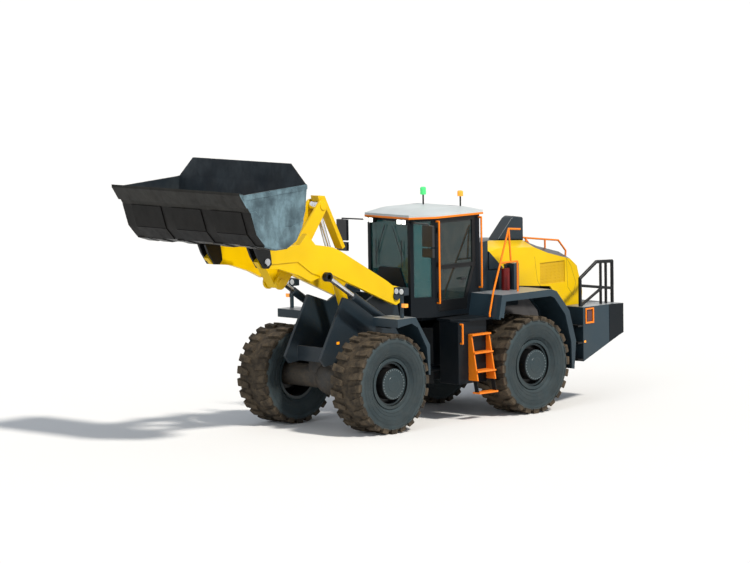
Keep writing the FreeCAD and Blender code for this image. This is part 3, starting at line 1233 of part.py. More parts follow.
def make_stack():
    """Wedge of the exhaust and air intake on the hood."""
    wedge = side_prism(tail_line([(-4070, 3230), (-4490, 3640), (-4570, 3680), (-4830, 3640),
                                  (-4830, 3150)]), 150, 420)
    keep("intake_stack", wedge.cut(hood_filled()))


def make_counterweight():
    """Casting behind and beside the hood."""
    top_z = WEIGHT_TOP_Z
    side_outline = tail_line([(-5500, 830), (-5500, top_z), (-6240, top_z), (-6660, top_z - 10),
                              (-6660, 1300), (-6540, 1260)])
    wing = side_prism(side_outline, 850, WEIGHT_HALF_WIDTH)
    back = side_prism(tail_line([(-6200, 1170), (-6200, 1880), (-6660, 1870), (-6660, 1300),
                                 (-6540, 1260)]), -850, 850)
    belly = side_prism(tail_line([(-5560, 1000), (-5560, 1450), (-6200, 1450), (-6200, 1170)]),
                       -850, 850)
    outer = WEIGHT_HALF_WIDTH
    grooves = box(at_front(WEIGHT_GROOVE_X - WEIGHT_GROOVE), at_front(WEIGHT_GROOVE_X),
                  outer - WEIGHT_GROOVE, outer + WEIGHT_GROOVE, 700, top_z + 10)
    pocket = box(at_front(TAIL_LAMP_X[0]), at_front(TAIL_LAMP_X[1]), outer - TAIL_LAMP_DEPTH,
                 outer + TAIL_LAMP_DEPTH, TAIL_LAMP_Z[0], TAIL_LAMP_Z[1])
    wing = wing.cut(grooves).cut(pocket)
    step_x = at_front(tail(-5500))
    steps = [box(step_x, step_x + STEP_DEPTH, 1080, 1340, z, z + STEP_THICKNESS) for z in STEP_Z]
    wing = fused([wing] + steps)
    hinges = []
    for y0 in (HOOD_LUG_Y - FACE_GAP - 30, HOOD_LUG_Y + 30 + FACE_GAP):
        ear = side_prism([(tail(-6250), 1860), (tail(-6210), 1860), turned(HOOD_HINGE, 35, 330),
                          turned(HOOD_HINGE, 35, 60), turned(HOOD_HINGE, 35, 150)], y0, y0 + 30)
        hinges.append(ear)
    hinges.append(pin_y(HOOD_HINGE, HOOD_PIN_RADIUS, HOOD_LUG_Y - FACE_GAP - 30,
                        HOOD_LUG_Y + 60 + FACE_GAP))
    hinge = fused(hinges)
    slot = box(at_front(tail(-6700)), at_front(TOW_PIN_X + 110), -TOW_SLOT_WIDTH / 2,
               TOW_SLOT_WIDTH / 2, TOW_SLOT_Z, TOW_SLOT_Z + TOW_SLOT_HEIGHT)
    tow_bore = cylinder(V(at_front(TOW_PIN_X), 0, 1000), V(at_front(TOW_PIN_X), 0, 2000),
                        TOW_PIN_RADIUS)
    back = back.cut(slot).cut(tow_bore)
    keep("counterweight", fused([wing, mirrored(wing), back, belly, hinge, mirrored(hinge)]))


def make_tail_lamps():
    """Tail lamps in their frames, let into the counterweight's sides."""
    x0 = at_front(TAIL_LAMP_X[0] + SEAT_GAP)
    x1 = at_front(TAIL_LAMP_X[1] - SEAT_GAP)
    z0 = TAIL_LAMP_Z[0] + SEAT_GAP
    z1 = TAIL_LAMP_Z[1] - SEAT_GAP
    outer = WEIGHT_HALF_WIDTH
    frame = box(x0, x1, outer - TAIL_LAMP_DEPTH + SEAT_GAP, outer + 14, z0, z1)
    rim = TAIL_LAMP_FRAME
    window = box(x0 + rim, x1 - rim, outer - 12, outer + 20, z0 + rim, z1 - rim)
    lens = box(x0 + rim + 25, x1 - rim - 25, outer - 12, outer + 4, z0 + rim + 25, z1 - rim - 25)
    keep("tail_lamps", both_sides(fused([frame.cut(window), lens])))


def make_guard_rails():
    """Black rails over the counterweight."""
    def at(x, z):
        return V(at_front(tail(x)), GUARD_RAIL_Y, z)
    top = bent_bar([at(-5580, 1890), at(-5580, 2430), at(-6050, 2720), at(-6500, 2700),
                    at(-6500, 1890)], GUARD_TUBE)
    posts = [bent_bar([at(-6170, 2700), at(-6170, 1890)], GUARD_POST),
             bent_bar([at(-6320, 2690), at(-6320, 1890)], GUARD_POST),
             bent_bar([at(-5600, 2290), at(-6500, 2170)], GUARD_POST),
             bent_bar([at(-5600, 1900), at(-6200, 2200)], GUARD_POST)]
    rails = fused([top] + posts)
    below = box(at_front(-7000), at_front(tail(-5000)), 1000, 1400, 1700, WEIGHT_TOP_Z + SEAT_GAP)
    keep("guard_rails", both_sides(rails.cut(below)))


def build():
    """Model every piece and write it."""
    for name, axle_x in (("front", FRONT_AXLE_X), ("rear", REAR_AXLE_X)):
        make_wheel(name + "_left", axle_x, 1)
        make_wheel(name + "_right", axle_x, -1)
    make_axle("front_axle", FRONT_AXLE_X, 440.0, TOWER_FLOOR_Z)
    make_axle("rear_axle", REAR_AXLE_X, RAIL_INNER_Y + RAIL_PLATE, 1190.0)
    make_front_frame()
    make_front_fenders()
    make_front_lamps()
    make_boom()
    make_bell_crank()
    make_tilt_link()
    make_bucket()
    make_coupler()
    make_lift_cylinders()
    make_tilt_cylinder()
    make_steer_cylinders()
    make_rear_frame()
    make_engine()
    make_cab()
    make_cab_glass()
    make_cab_roof()
    make_roof_lamps()
    make_door()
    make_cab_inside()
    make_platforms()
    make_boxes()
    make_access()
    make_fender_fittings()
    make_mirrors()
    make_hood()
    make_hood_rails()
    make_shroud()
    make_stack()
    make_counterweight()
    make_tail_lamps()
    make_guard_rails()
    os.makedirs("parts", exist_ok=True)
    for name, shape in PIECES.items():
        shape.exportStep("parts/" + name + ".step")
        size = shape.BoundBox
        print(name, len(shape.Solids), shape.isValid(), round(shape.Volume / 1e9, 4),
              [round(v) for v in (size.XMin, size.XMax, size.YMin, size.YMax, size.ZMin, size.ZMax)])


build()
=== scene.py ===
"""Looks of an articulated wheel loader: finishes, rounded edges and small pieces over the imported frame.

Everything is in metres in the loader's own frame: +X forward, +Y to the machine's left, +Z up.
"""
import json
import logging
import math
from dataclasses import dataclass
from enum import Enum
from typing import Callable

import bpy
from mathutils import Matrix, Vector

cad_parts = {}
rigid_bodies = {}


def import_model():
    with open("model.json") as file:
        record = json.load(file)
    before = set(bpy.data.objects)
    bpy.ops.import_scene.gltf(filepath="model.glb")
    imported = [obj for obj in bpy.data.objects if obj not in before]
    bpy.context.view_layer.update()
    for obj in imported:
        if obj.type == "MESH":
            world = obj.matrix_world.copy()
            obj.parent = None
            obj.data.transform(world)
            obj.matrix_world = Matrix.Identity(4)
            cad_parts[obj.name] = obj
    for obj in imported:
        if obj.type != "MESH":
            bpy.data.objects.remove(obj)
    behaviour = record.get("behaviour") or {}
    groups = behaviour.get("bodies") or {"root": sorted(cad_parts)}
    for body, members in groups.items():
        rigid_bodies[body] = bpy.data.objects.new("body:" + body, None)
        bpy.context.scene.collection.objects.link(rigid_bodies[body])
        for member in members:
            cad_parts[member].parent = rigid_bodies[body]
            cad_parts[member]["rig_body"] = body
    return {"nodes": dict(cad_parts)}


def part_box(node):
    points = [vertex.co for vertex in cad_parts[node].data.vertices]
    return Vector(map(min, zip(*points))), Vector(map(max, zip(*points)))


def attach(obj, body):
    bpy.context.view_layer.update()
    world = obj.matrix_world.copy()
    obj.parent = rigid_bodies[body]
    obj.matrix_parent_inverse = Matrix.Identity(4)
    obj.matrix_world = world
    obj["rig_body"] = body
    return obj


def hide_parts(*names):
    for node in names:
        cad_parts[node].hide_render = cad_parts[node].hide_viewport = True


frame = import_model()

LOG = logging.getLogger("wheel_loader")
Colour = tuple[float, float, float]
Point = tuple[float, float, float]
Socket = bpy.types.NodeSocket
Piece = bpy.types.Object
Chooser = Callable[[Vector, Vector], int]
Box = tuple[Point, Point]
Steps = tuple[tuple[float, float], ...]

DUST: Colour = (0.30, 0.22, 0.135)
# pale grey painted on what faces up: a painted reflection of the sky, not dust
PAINTED_SKY_SHEEN: Colour = (0.46, 0.48, 0.49)


class Side(Enum):
    """Left or right of the machine."""

    LEFT = 1
    RIGHT = -1


def middle(low: Point, high: Point) -> Vector:
    """The point halfway between two corners."""
    return (Vector(low) + Vector(high)) / 2


def shade(colour: Colour, factor: float) -> Colour:
    """A colour made darker or lighter by a factor."""
    return tuple(part * factor for part in colour)


def mirrored(box: Box, side: Side) -> Box:
    """A box given for the left, on either side.

    Args:
        box: its lowest and highest corner on the left.
        side: where it is wanted.

    Returns:
        Its lowest and highest corner there.
    """
    if side is Side.LEFT:
        return box
    (x0, y0, z0), (x1, y1, z1) = box
    return (x0, -y1, z0), (x1, -y0, z1)


FRONT_AXLE_X, TRACK_HALF, AXLE_HEIGHT = middle(*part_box("tyre_front_left"))
REAR_AXLE_X = middle(*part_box("tyre_rear_left")).x
AXLE_MIDDLE = (FRONT_AXLE_X + REAR_AXLE_X) / 2
AXLE_SPREAD = (FRONT_AXLE_X - REAR_AXLE_X) / 2


def inside(box: Box, place: Vector) -> bool:
    """Whether a place, or its mirror image on the left, lies inside a box."""
    spot = (place.x, abs(place.y), place.z)
    return all(low < value < high for low, value, high in zip(box[0], spot, box[1]))


class ShaderSheet:
    """One material, with short calls that wire its nodes."""

    # numbers of the colour sockets on a Mix node
    MIX_FIRST, MIX_SECOND, MIX_RESULT = 6, 7, 2
    NOISE_ROUGHNESS = 0.6

    def __init__(self, name: str) -> None:
        """Starts the material.

        Args:
            name: the material's name.
        """
        self.material = bpy.data.materials.new(name)
        self.material.use_nodes = True
        self.tree = self.material.node_tree
        self.shader = self.tree.nodes["Principled BSDF"]
        coordinates = self.tree.nodes.new("ShaderNodeTexCoord")
        self.place = coordinates.outputs["Object"]
        self.normal = coordinates.outputs["Normal"]

    def fill(self, socket: Socket, value: Socket | float | Colour) -> None:
        """Sets a socket, or links it.

        Args:
            socket: the input to fill.
            value: another node's output, a number or a colour.
        """
        if isinstance(value, bpy.types.NodeSocket):
            self.tree.links.new(value, socket)
        elif isinstance(value, tuple) and socket.type == "RGBA":
            socket.default_value = (*value, 1.0)
        else:
            socket.default_value = value

    def surface(self, **values: Socket | float | Colour) -> None:
        """Fills the shader's sockets, named with underscores.

        Args:
            values: socket name to value.
        """
        for name, value in values.items():
            self.fill(self.shader.inputs[name.replace("_", " ").title().replace("Ior", "IOR")], value)

    def stretched(self, scale: Point) -> Socket:
        """Object coordinates scaled by axis.

        Args:
            scale: factor along each axis.

        Returns:
            The scaled coordinates.
        """
        node = self.tree.nodes.new("ShaderNodeMapping")
        self.fill(node.inputs["Vector"], self.place)
        node.inputs["Scale"].default_value = scale
        return node.outputs["Vector"]

    def noise(self, scale: float, detail: float = 3.0, stretch: Point | None = None) -> Socket:
        """Cloudy noise between 0 and 1.

        Args:
            scale: clouds to the metre.
            detail: octaves.
            stretch: factor along each axis, if the clouds are drawn out.

        Returns:
            The noise value.
        """
        node = self.tree.nodes.new("ShaderNodeTexNoise")
        self.fill(node.inputs["Vector"], self.stretched(stretch) if stretch else self.place)
        node.inputs["Scale"].default_value = scale
        node.inputs["Detail"].default_value = detail
        node.inputs["Roughness"].default_value = self.NOISE_ROUGHNESS
        return node.outputs["Fac"]

    def spread(self, value: Socket, low: float, high: float, start: float = 0.0,
               end: float = 1.0) -> Socket:
        """Maps a range of values smoothly onto another.

        Args:
            value: what is mapped.
            low: value that gives start.
            high: value that gives end.
            start: result at low.
            end: result at high.

        Returns:
            The mapped value.
        """
        node = self.tree.nodes.new("ShaderNodeMapRange")
        node.interpolation_type = "SMOOTHSTEP"
        self.fill(node.inputs["Value"], value)
        node.inputs["From Min"].default_value = low
        node.inputs["From Max"].default_value = high
        node.inputs["To Min"].default_value = start
        node.inputs["To Max"].default_value = end
        return node.outputs["Result"]

    def combined(self, operation: str, first: Socket | float, second: Socket | float = 0.0,
                 clamp: bool = False) -> Socket:
        """Arithmetic on one or two values.

        Args:
            operation: name of the Math node's operation.
            first: left value.
            second: right value.
            clamp: whether the result is held between 0 and 1.

        Returns:
            The result.
        """
        node = self.tree.nodes.new("ShaderNodeMath")
        node.operation = operation
        node.use_clamp = clamp
        self.fill(node.inputs[0], first)
        self.fill(node.inputs[1], second)
        return node.outputs["Value"]

    def product(self, first: Socket, *others: Socket | float) -> Socket:
        """Multiplies values.

        Args:
            first: a value.
            others: what it is multiplied by.

        Returns:
            The product.
        """
        for other in others:
            first = self.combined("MULTIPLY", first, other)
        return first

    def mix(self, share: Socket | float, first: Socket | Colour, second: Socket | Colour) -> Socket:
        """Mixes two colours.

        Args:
            share: 0 gives the first, 1 the second.
            first: first colour.
            second: second colour.

        Returns:
            The mixed colour.
        """
        node = self.tree.nodes.new("ShaderNodeMix")
        node.data_type = "RGBA"
        self.fill(node.inputs["Factor"], share)
        self.fill(node.inputs[self.MIX_FIRST], first)
        self.fill(node.inputs[self.MIX_SECOND], second)
        return node.outputs[self.MIX_RESULT]

    def axis(self, source: Socket, letter: str) -> Socket:
        """One component of a vector.

        Args:
            source: vector output.
            letter: X, Y or Z.

        Returns:
            The component.
        """
        node = self.tree.nodes.new("ShaderNodeSeparateXYZ")
        self.fill(node.inputs["Vector"], source)
        return node.outputs[letter]

    def reach(self) -> Socket:
        """Distance from the nearer axle's centre line.

        Returns:
            The distance in metres.
        """
        across = self.combined("SUBTRACT", self.axis(self.place, "X"), AXLE_MIDDLE)
        across = self.combined("SUBTRACT", self.combined("ABSOLUTE", across), AXLE_SPREAD)
        above = self.combined("SUBTRACT", self.axis(self.place, "Z"), AXLE_HEIGHT)
        squares = self.combined("ADD", self.product(across, across), self.product(above, above))
        return self.combined("SQRT", squares)

    def edges(self, radius: float) -> Socket:
        """Mask that is 1 on sharp outer and inner edges.

        Args:
            radius: how far from the edge it reaches.

        Returns:
            The mask.
        """
        bevel = self.tree.nodes.new("ShaderNodeBevel")
        bevel.samples = 4
        bevel.inputs["Radius"].default_value = radius
        true_normal = self.tree.nodes.new("ShaderNodeNewGeometry")
        dot = self.tree.nodes.new("ShaderNodeVectorMath")
        dot.operation = "DOT_PRODUCT"
        self.fill(dot.inputs[0], bevel.outputs["Normal"])
        self.fill(dot.inputs[1], true_normal.outputs["Normal"])
        return self.spread(dot.outputs["Value"], 0.98, 0.80)

    def dust(self, amount: float, low: float = 0.2, high: float = 2.4) -> Socket:
        """Mask of dust, thicker on what faces up and near the ground.

        Args:
            amount: 0 is clean, 1 is caked.
            low: height at which the splashed dust is thickest.
            high: height at which it ends.

        Returns:
            The mask.
        """
        upward = self.spread(self.axis(self.normal, "Z"), 0.35, 1.0, 0.0, 0.75)
        near_ground = self.spread(self.axis(self.place, "Z"), high, low, 0.10, 0.65)
        cover = self.combined("MAXIMUM", upward, near_ground)
        patches = self.spread(self.noise(2.3, 6.0), 0.30, 0.75, 0.25, 1.0)
        fine = self.spread(self.noise(38.0, 4.0), 0.25, 0.8, 0.55, 1.0)
        return self.product(cover, patches, fine, amount)

    def relief(self, height: Socket, strength: float, distance: float) -> None:
        """Bump on the shader's normal.

        Args:
            height: height from 0 to 1.
            strength: share of the bump that shows.
            distance: height in metres that 1 stands for.
        """
        bump = self.tree.nodes.new("ShaderNodeBump")
        bump.inputs["Strength"].default_value = strength
        bump.inputs["Distance"].default_value = distance
        self.fill(bump.inputs["Height"], height)
        self.fill(self.shader.inputs["Normal"], bump.outputs["Normal"])


@dataclass(frozen=True)
class Paint:
    """Sprayed paint with dust, light wear, chipped edges, and a pale painted sky reflection on what faces up.
    """

    name: str
    colour: Colour
    roughness: float
    dust: float
    chips: float = 0.35
    bare: Colour = (0.16, 0.15, 0.14)
    coat: float = 0.06
    shine: float = 0.22
    # share of the pale painted sky reflection on what faces up
    painted_sheen: float = 0.0

    def material(self) -> bpy.types.Material:
        """Wires the finish.

        Returns:
            Its material.
        """
        sheet = ShaderSheet(self.name)
        mottled = sheet.spread(sheet.noise(0.9, 2.0), 0.35, 0.7)
        tone = sheet.mix(mottled, self.colour, shade(self.colour, 0.86))
        broken = sheet.spread(sheet.noise(34.0, 5.0), 0.50, 0.62)
        tone = sheet.mix(sheet.product(sheet.edges(0.012), broken, self.chips), tone, self.bare)
        # what faces up is painted paler towards grey: a painted sky reflection
        facing_up = sheet.spread(sheet.axis(sheet.normal, "Z"), 0.55, 1.0)
        tone = sheet.mix(sheet.product(facing_up, self.painted_sheen), tone, PAINTED_SKY_SHEEN)
        dust = sheet.dust(self.dust)
        sheet.surface(base_color=sheet.mix(dust, tone, DUST), coat_weight=self.coat, coat_roughness=0.22,
                      roughness=sheet.spread(dust, 0.0, 0.5, self.roughness, 0.85),
                      specular_ior_level=self.shine)
        sheet.relief(sheet.noise(420.0, 2.0), 0.10, 0.0006)
        return sheet.material


@dataclass(frozen=True)
class WornSteel:
    """Plate scoured by earth: bare bluish metal where it rubs, dark paint and caked dust elsewhere."""

    name: str
    paint: Colour
    steel: Colour
    rub: float
    dust: float

    def material(self) -> bpy.types.Material:
        """Wires the finish.

        Returns:
            Its material.
        """
        sheet = ShaderSheet(self.name)
        rubbed = sheet.product(sheet.spread(sheet.noise(1.7, 6.0), 0.33, 0.62), self.rub)
        rubbed = sheet.combined("MAXIMUM", rubbed, sheet.product(sheet.edges(0.02), 0.85))
        streaks = sheet.noise(7.0, 8.0, (1.0, 1.0, 0.45))
        metal = sheet.mix(sheet.spread(streaks, 0.35, 0.7), self.steel, shade(self.steel, 0.55))
        tone = sheet.mix(rubbed, self.paint, metal)
        dust = sheet.dust(self.dust, 3.0, 5.2)
        sheet.surface(base_color=sheet.mix(dust, tone, DUST),
                      metallic=sheet.product(rubbed, 0.65), specular_ior_level=0.15,
                      roughness=sheet.spread(sheet.combined("ADD", dust, streaks, clamp=True),
                                             0.2, 1.2, 0.34, 0.75))
        sheet.relief(streaks, 0.25, 0.002)
        return sheet.material


@dataclass(frozen=True)
class Rubber:
    """Tyre rubber: pale grey patches at random, fine moulded rings on the walls with their grooves painted
    darker as shade, dry earth towards the tread.
    """

    name: str
    colour: Colour
    dust: float
    rings: float = 0.0
    # waves of the ring pattern, in radians to the metre
    ring_waves: float = 330.0
    # radii where the wall begins and ends, and where the tread is at its dustiest
    bead: float = 0.50
    shoulder: float = 0.80
    tread: float = 0.93

    def material(self) -> bpy.types.Material:
        """Wires the finish.

        Returns:
            Its material.
        """
        sheet = ShaderSheet(self.name)
        reach = sheet.reach()
        wave = sheet.spread(sheet.combined("SINE", sheet.product(reach, self.ring_waves)), -1.0, 1.0)
        band = sheet.product(sheet.spread(reach, self.bead, self.bead + 0.04),
                             sheet.spread(reach, self.shoulder, self.shoulder - 0.03))
        grooves_and_shade = sheet.product(wave, band, self.rings)
        pale = sheet.spread(sheet.noise(3.1, 6.0), 0.3, 0.75)
        tone = sheet.mix(pale, self.colour, shade(self.colour, 1.45))
        # the rings' grooves are painted darker: painted shade in them
        tone = sheet.mix(grooves_and_shade, tone, shade(self.colour, 0.55))
        patches = sheet.spread(sheet.noise(6.5, 7.0), 0.30, 0.66, 0.25, 1.0)
        speckle = sheet.spread(sheet.noise(90.0, 4.0), 0.3, 0.75, 0.5, 1.0)
        outward = sheet.spread(reach, self.shoulder, self.tread, 0.12, 1.0)
        earth = sheet.product(patches, speckle, self.dust, outward)
        sheet.surface(base_color=sheet.mix(earth, tone, DUST), roughness=0.82, specular_ior_level=0.2)
        grain = sheet.product(sheet.noise(150.0, 6.0), 0.5)
        sheet.relief(sheet.combined("SUBTRACT", grain, sheet.product(grooves_and_shade, 0.5), clamp=True), 0.5, 0.005)
        return sheet.material


@dataclass(frozen=True)
class Polished:
    """Hard chrome or bright steel with faint smears."""

    name: str
    colour: Colour = (0.72, 0.73, 0.75)
    roughness: float = 0.12

    def material(self) -> bpy.types.Material:
        """Wires the finish.

        Returns:
            Its material.
        """
        sheet = ShaderSheet(self.name)
        smear = sheet.noise(22.0, 5.0, (0.25, 1.0, 0.25))
        tone = sheet.mix(sheet.spread(smear, 0.4, 0.8), self.colour, shade(self.colour, 0.8))
        sheet.surface(base_color=tone, metallic=1.0,
                      roughness=sheet.spread(smear, 0.35, 0.75, self.roughness, self.roughness + 0.18))
        return sheet.material


@dataclass(frozen=True)
class Plastic:
    """Moulded plastic with a fine grain."""

    name: str
    colour: Colour
    roughness: float
    dust: float

    def material(self) -> bpy.types.Material:
        """Wires the finish.

        Returns:
            Its material.
        """
        sheet = ShaderSheet(self.name)
        dust = sheet.dust(self.dust)
        sheet.surface(base_color=sheet.mix(dust, self.colour, DUST),
                      roughness=sheet.spread(dust, 0.0, 0.5, self.roughness, 0.85))
        sheet.relief(sheet.noise(600.0, 2.0), 0.25, 0.0008)
        return sheet.material


@dataclass(frozen=True)
class Pane:
    """Tinted window glass, a little dusty."""

    name: str
    tint: Colour
    veil: float = 0.74

    def material(self) -> bpy.types.Material:
        """Wires the finish.

        Returns:
            Its material.
        """
        sheet = ShaderSheet(self.name)
        film = sheet.spread(sheet.noise(5.0, 6.0), 0.35, 0.8, 0.02, 0.10)
        sheet.surface(base_color=sheet.mix(film, self.tint, DUST), roughness=0.03, ior=1.5,
                      alpha=sheet.spread(film, 0.0, 0.2, self.veil, self.veil + 0.1))
        return sheet.material


@dataclass(frozen=True)
class Lens:
    """Lamp lens with a moulded ripple; lit lamps glow softly."""

    name: str
    colour: Colour
    glow: float = 0.0

    def material(self) -> bpy.types.Material:
        """Wires the finish.

        Returns:
            Its material.
        """
        sheet = ShaderSheet(self.name)
        ripple = sheet.noise(120.0, 1.0)
        tone = sheet.mix(sheet.spread(ripple, 0.3, 0.7), self.colour, shade(self.colour, 0.75))
        sheet.surface(base_color=tone, roughness=0.12, coat_weight=0.6, emission_color=self.colour,
                      emission_strength=self.glow)
        sheet.relief(ripple, 0.5, 0.002)
        return sheet.material


@dataclass(frozen=True)
class Cloth:
    """Woven seat cloth."""

    name: str
    colour: Colour

    def material(self) -> bpy.types.Material:
        """Wires the finish.

        Returns:
            Its material.
        """
        sheet = ShaderSheet(self.name)
        weave = sheet.noise(900.0, 1.0)
        tone = sheet.mix(sheet.spread(weave, 0.3, 0.7), self.colour, shade(self.colour, 1.9))
        sheet.surface(base_color=tone, roughness=0.92, sheen_weight=0.25)
        sheet.relief(weave, 0.4, 0.001)
        return sheet.material


Finish = Paint | WornSteel | Rubber | Polished | Plastic | Pane | Lens | Cloth

YELLOW = Paint("yellow_paint", (0.76, 0.480, 0.0005), roughness=0.30, dust=0.09, chips=0.35, shine=0.16)
GRILLE_YELLOW = Paint("yellow_grille", (0.62, 0.37, 0.004), roughness=0.42, dust=0.40, chips=0.2)
# the blue-grey paint's tops get the painted sky reflection
GREY = Paint("blue_grey_paint", (0.019, 0.037, 0.050), roughness=0.32, dust=0.10, coat=0.08, painted_sheen=0.45)
FRAME = Paint("frame_paint", (0.012, 0.022, 0.031), roughness=0.36, dust=0.20)
DARK = Paint("dark_grey_paint", (0.004, 0.007, 0.010), roughness=0.38, dust=0.04, shine=0.12)
BLACK = Paint("black_paint", (0.004, 0.005, 0.006), roughness=0.32, dust=0.05, bare=(0.06, 0.06, 0.06))
ORANGE = Paint("orange_paint", (0.84, 0.20, 0.004), roughness=0.32, dust=0.22, chips=0.5)
RED = Paint("red_paint", (0.13, 0.006, 0.006), roughness=0.28, dust=0.14, chips=0.3)
ROOF = Paint("pale_roof_paint", (0.49, 0.535, 0.54), roughness=0.42, dust=0.18, chips=0.1)
AXLE = Paint("axle_paint", (0.016, 0.022, 0.028), roughness=0.55, dust=0.70)
IRON = Paint("engine_paint", (0.06, 0.06, 0.064), roughness=0.6, dust=0.45)
RIM = Paint("rim_paint", (0.017, 0.032, 0.038), roughness=0.30, dust=0.10)
HUB_BOLT = Paint("hub_bolt_paint", (0.11, 0.14, 0.15), roughness=0.30, dust=0.10)
BUCKET_SIDE = WornSteel("scoured_side_steel", (0.040, 0.066, 0.080), (0.195, 0.300, 0.345), 0.97, 0.06)
# the underside lies in shade: its paint and steel are painted near black as painted shade, with a little real
# wear and dust
BUCKET_UNDERSIDE_SHADE = WornSteel("bucket_underside_painted_shade", (0.001, 0.001, 0.001), (0.012, 0.012, 0.012), 0.12, 0.03)
BUCKET_LIP = WornSteel("bucket_lip_steel", (0.007, 0.007, 0.006), (0.032, 0.032, 0.029), 0.45, 0.11)
BUCKET_INSIDE = WornSteel("bucket_inside_steel", (0.010, 0.017, 0.024), (0.060, 0.075, 0.085), 0.45, 0.30)
WALL_RUBBER = Rubber("tyre_wall_rubber", (0.026, 0.039, 0.044), 0.34, 0.9)
TREAD_RUBBER = Rubber("tyre_tread_rubber", (0.005, 0.005, 0.005), 0.36)
CHROME = Polished("chromed_rod")
MIRROR = Polished("mirror_glass", (0.80, 0.82, 0.84), 0.04)
STEEL = Polished("bright_steel", (0.52, 0.53, 0.55), 0.30)
PLASTIC = Plastic("black_plastic", (0.005, 0.006, 0.008), 0.32, 0.01)
GLASS = Pane("green_tinted_glass", (0.008, 0.078, 0.084))
DOOR_GLASS = Pane("dark_tinted_glass", (0.004, 0.018, 0.020), 0.84)
CLEAR_LENS = Lens("lit_clear_lens", (0.95, 0.95, 0.90), 1.6)
HEAD_LENS = Lens("head_lens", (0.62, 0.64, 0.64), 0.15)
AMBER_LENS = Lens("amber_lens", (0.95, 0.32, 0.01), 0.5)
GREEN_LENS = Lens("green_lens", (0.05, 0.62, 0.16), 0.5)
RED_LENS = Lens("red_lens", (0.07, 0.004, 0.004), 0.02)
CLOTH = Cloth("seat_cloth", (0.018, 0.018, 0.021))


class Finishes:
    """Materials made once and shared."""

    made: dict[str, bpy.types.Material] = {}

    @classmethod
    def of(cls, finish: Finish) -> bpy.types.Material:
        """The material of a finish, made on first use.

        Args:
            finish: any of the finish classes.

        Returns:
            Its material.
        """
        if finish.name not in cls.made:
            cls.made[finish.name] = finish.material()
        return cls.made[finish.name]


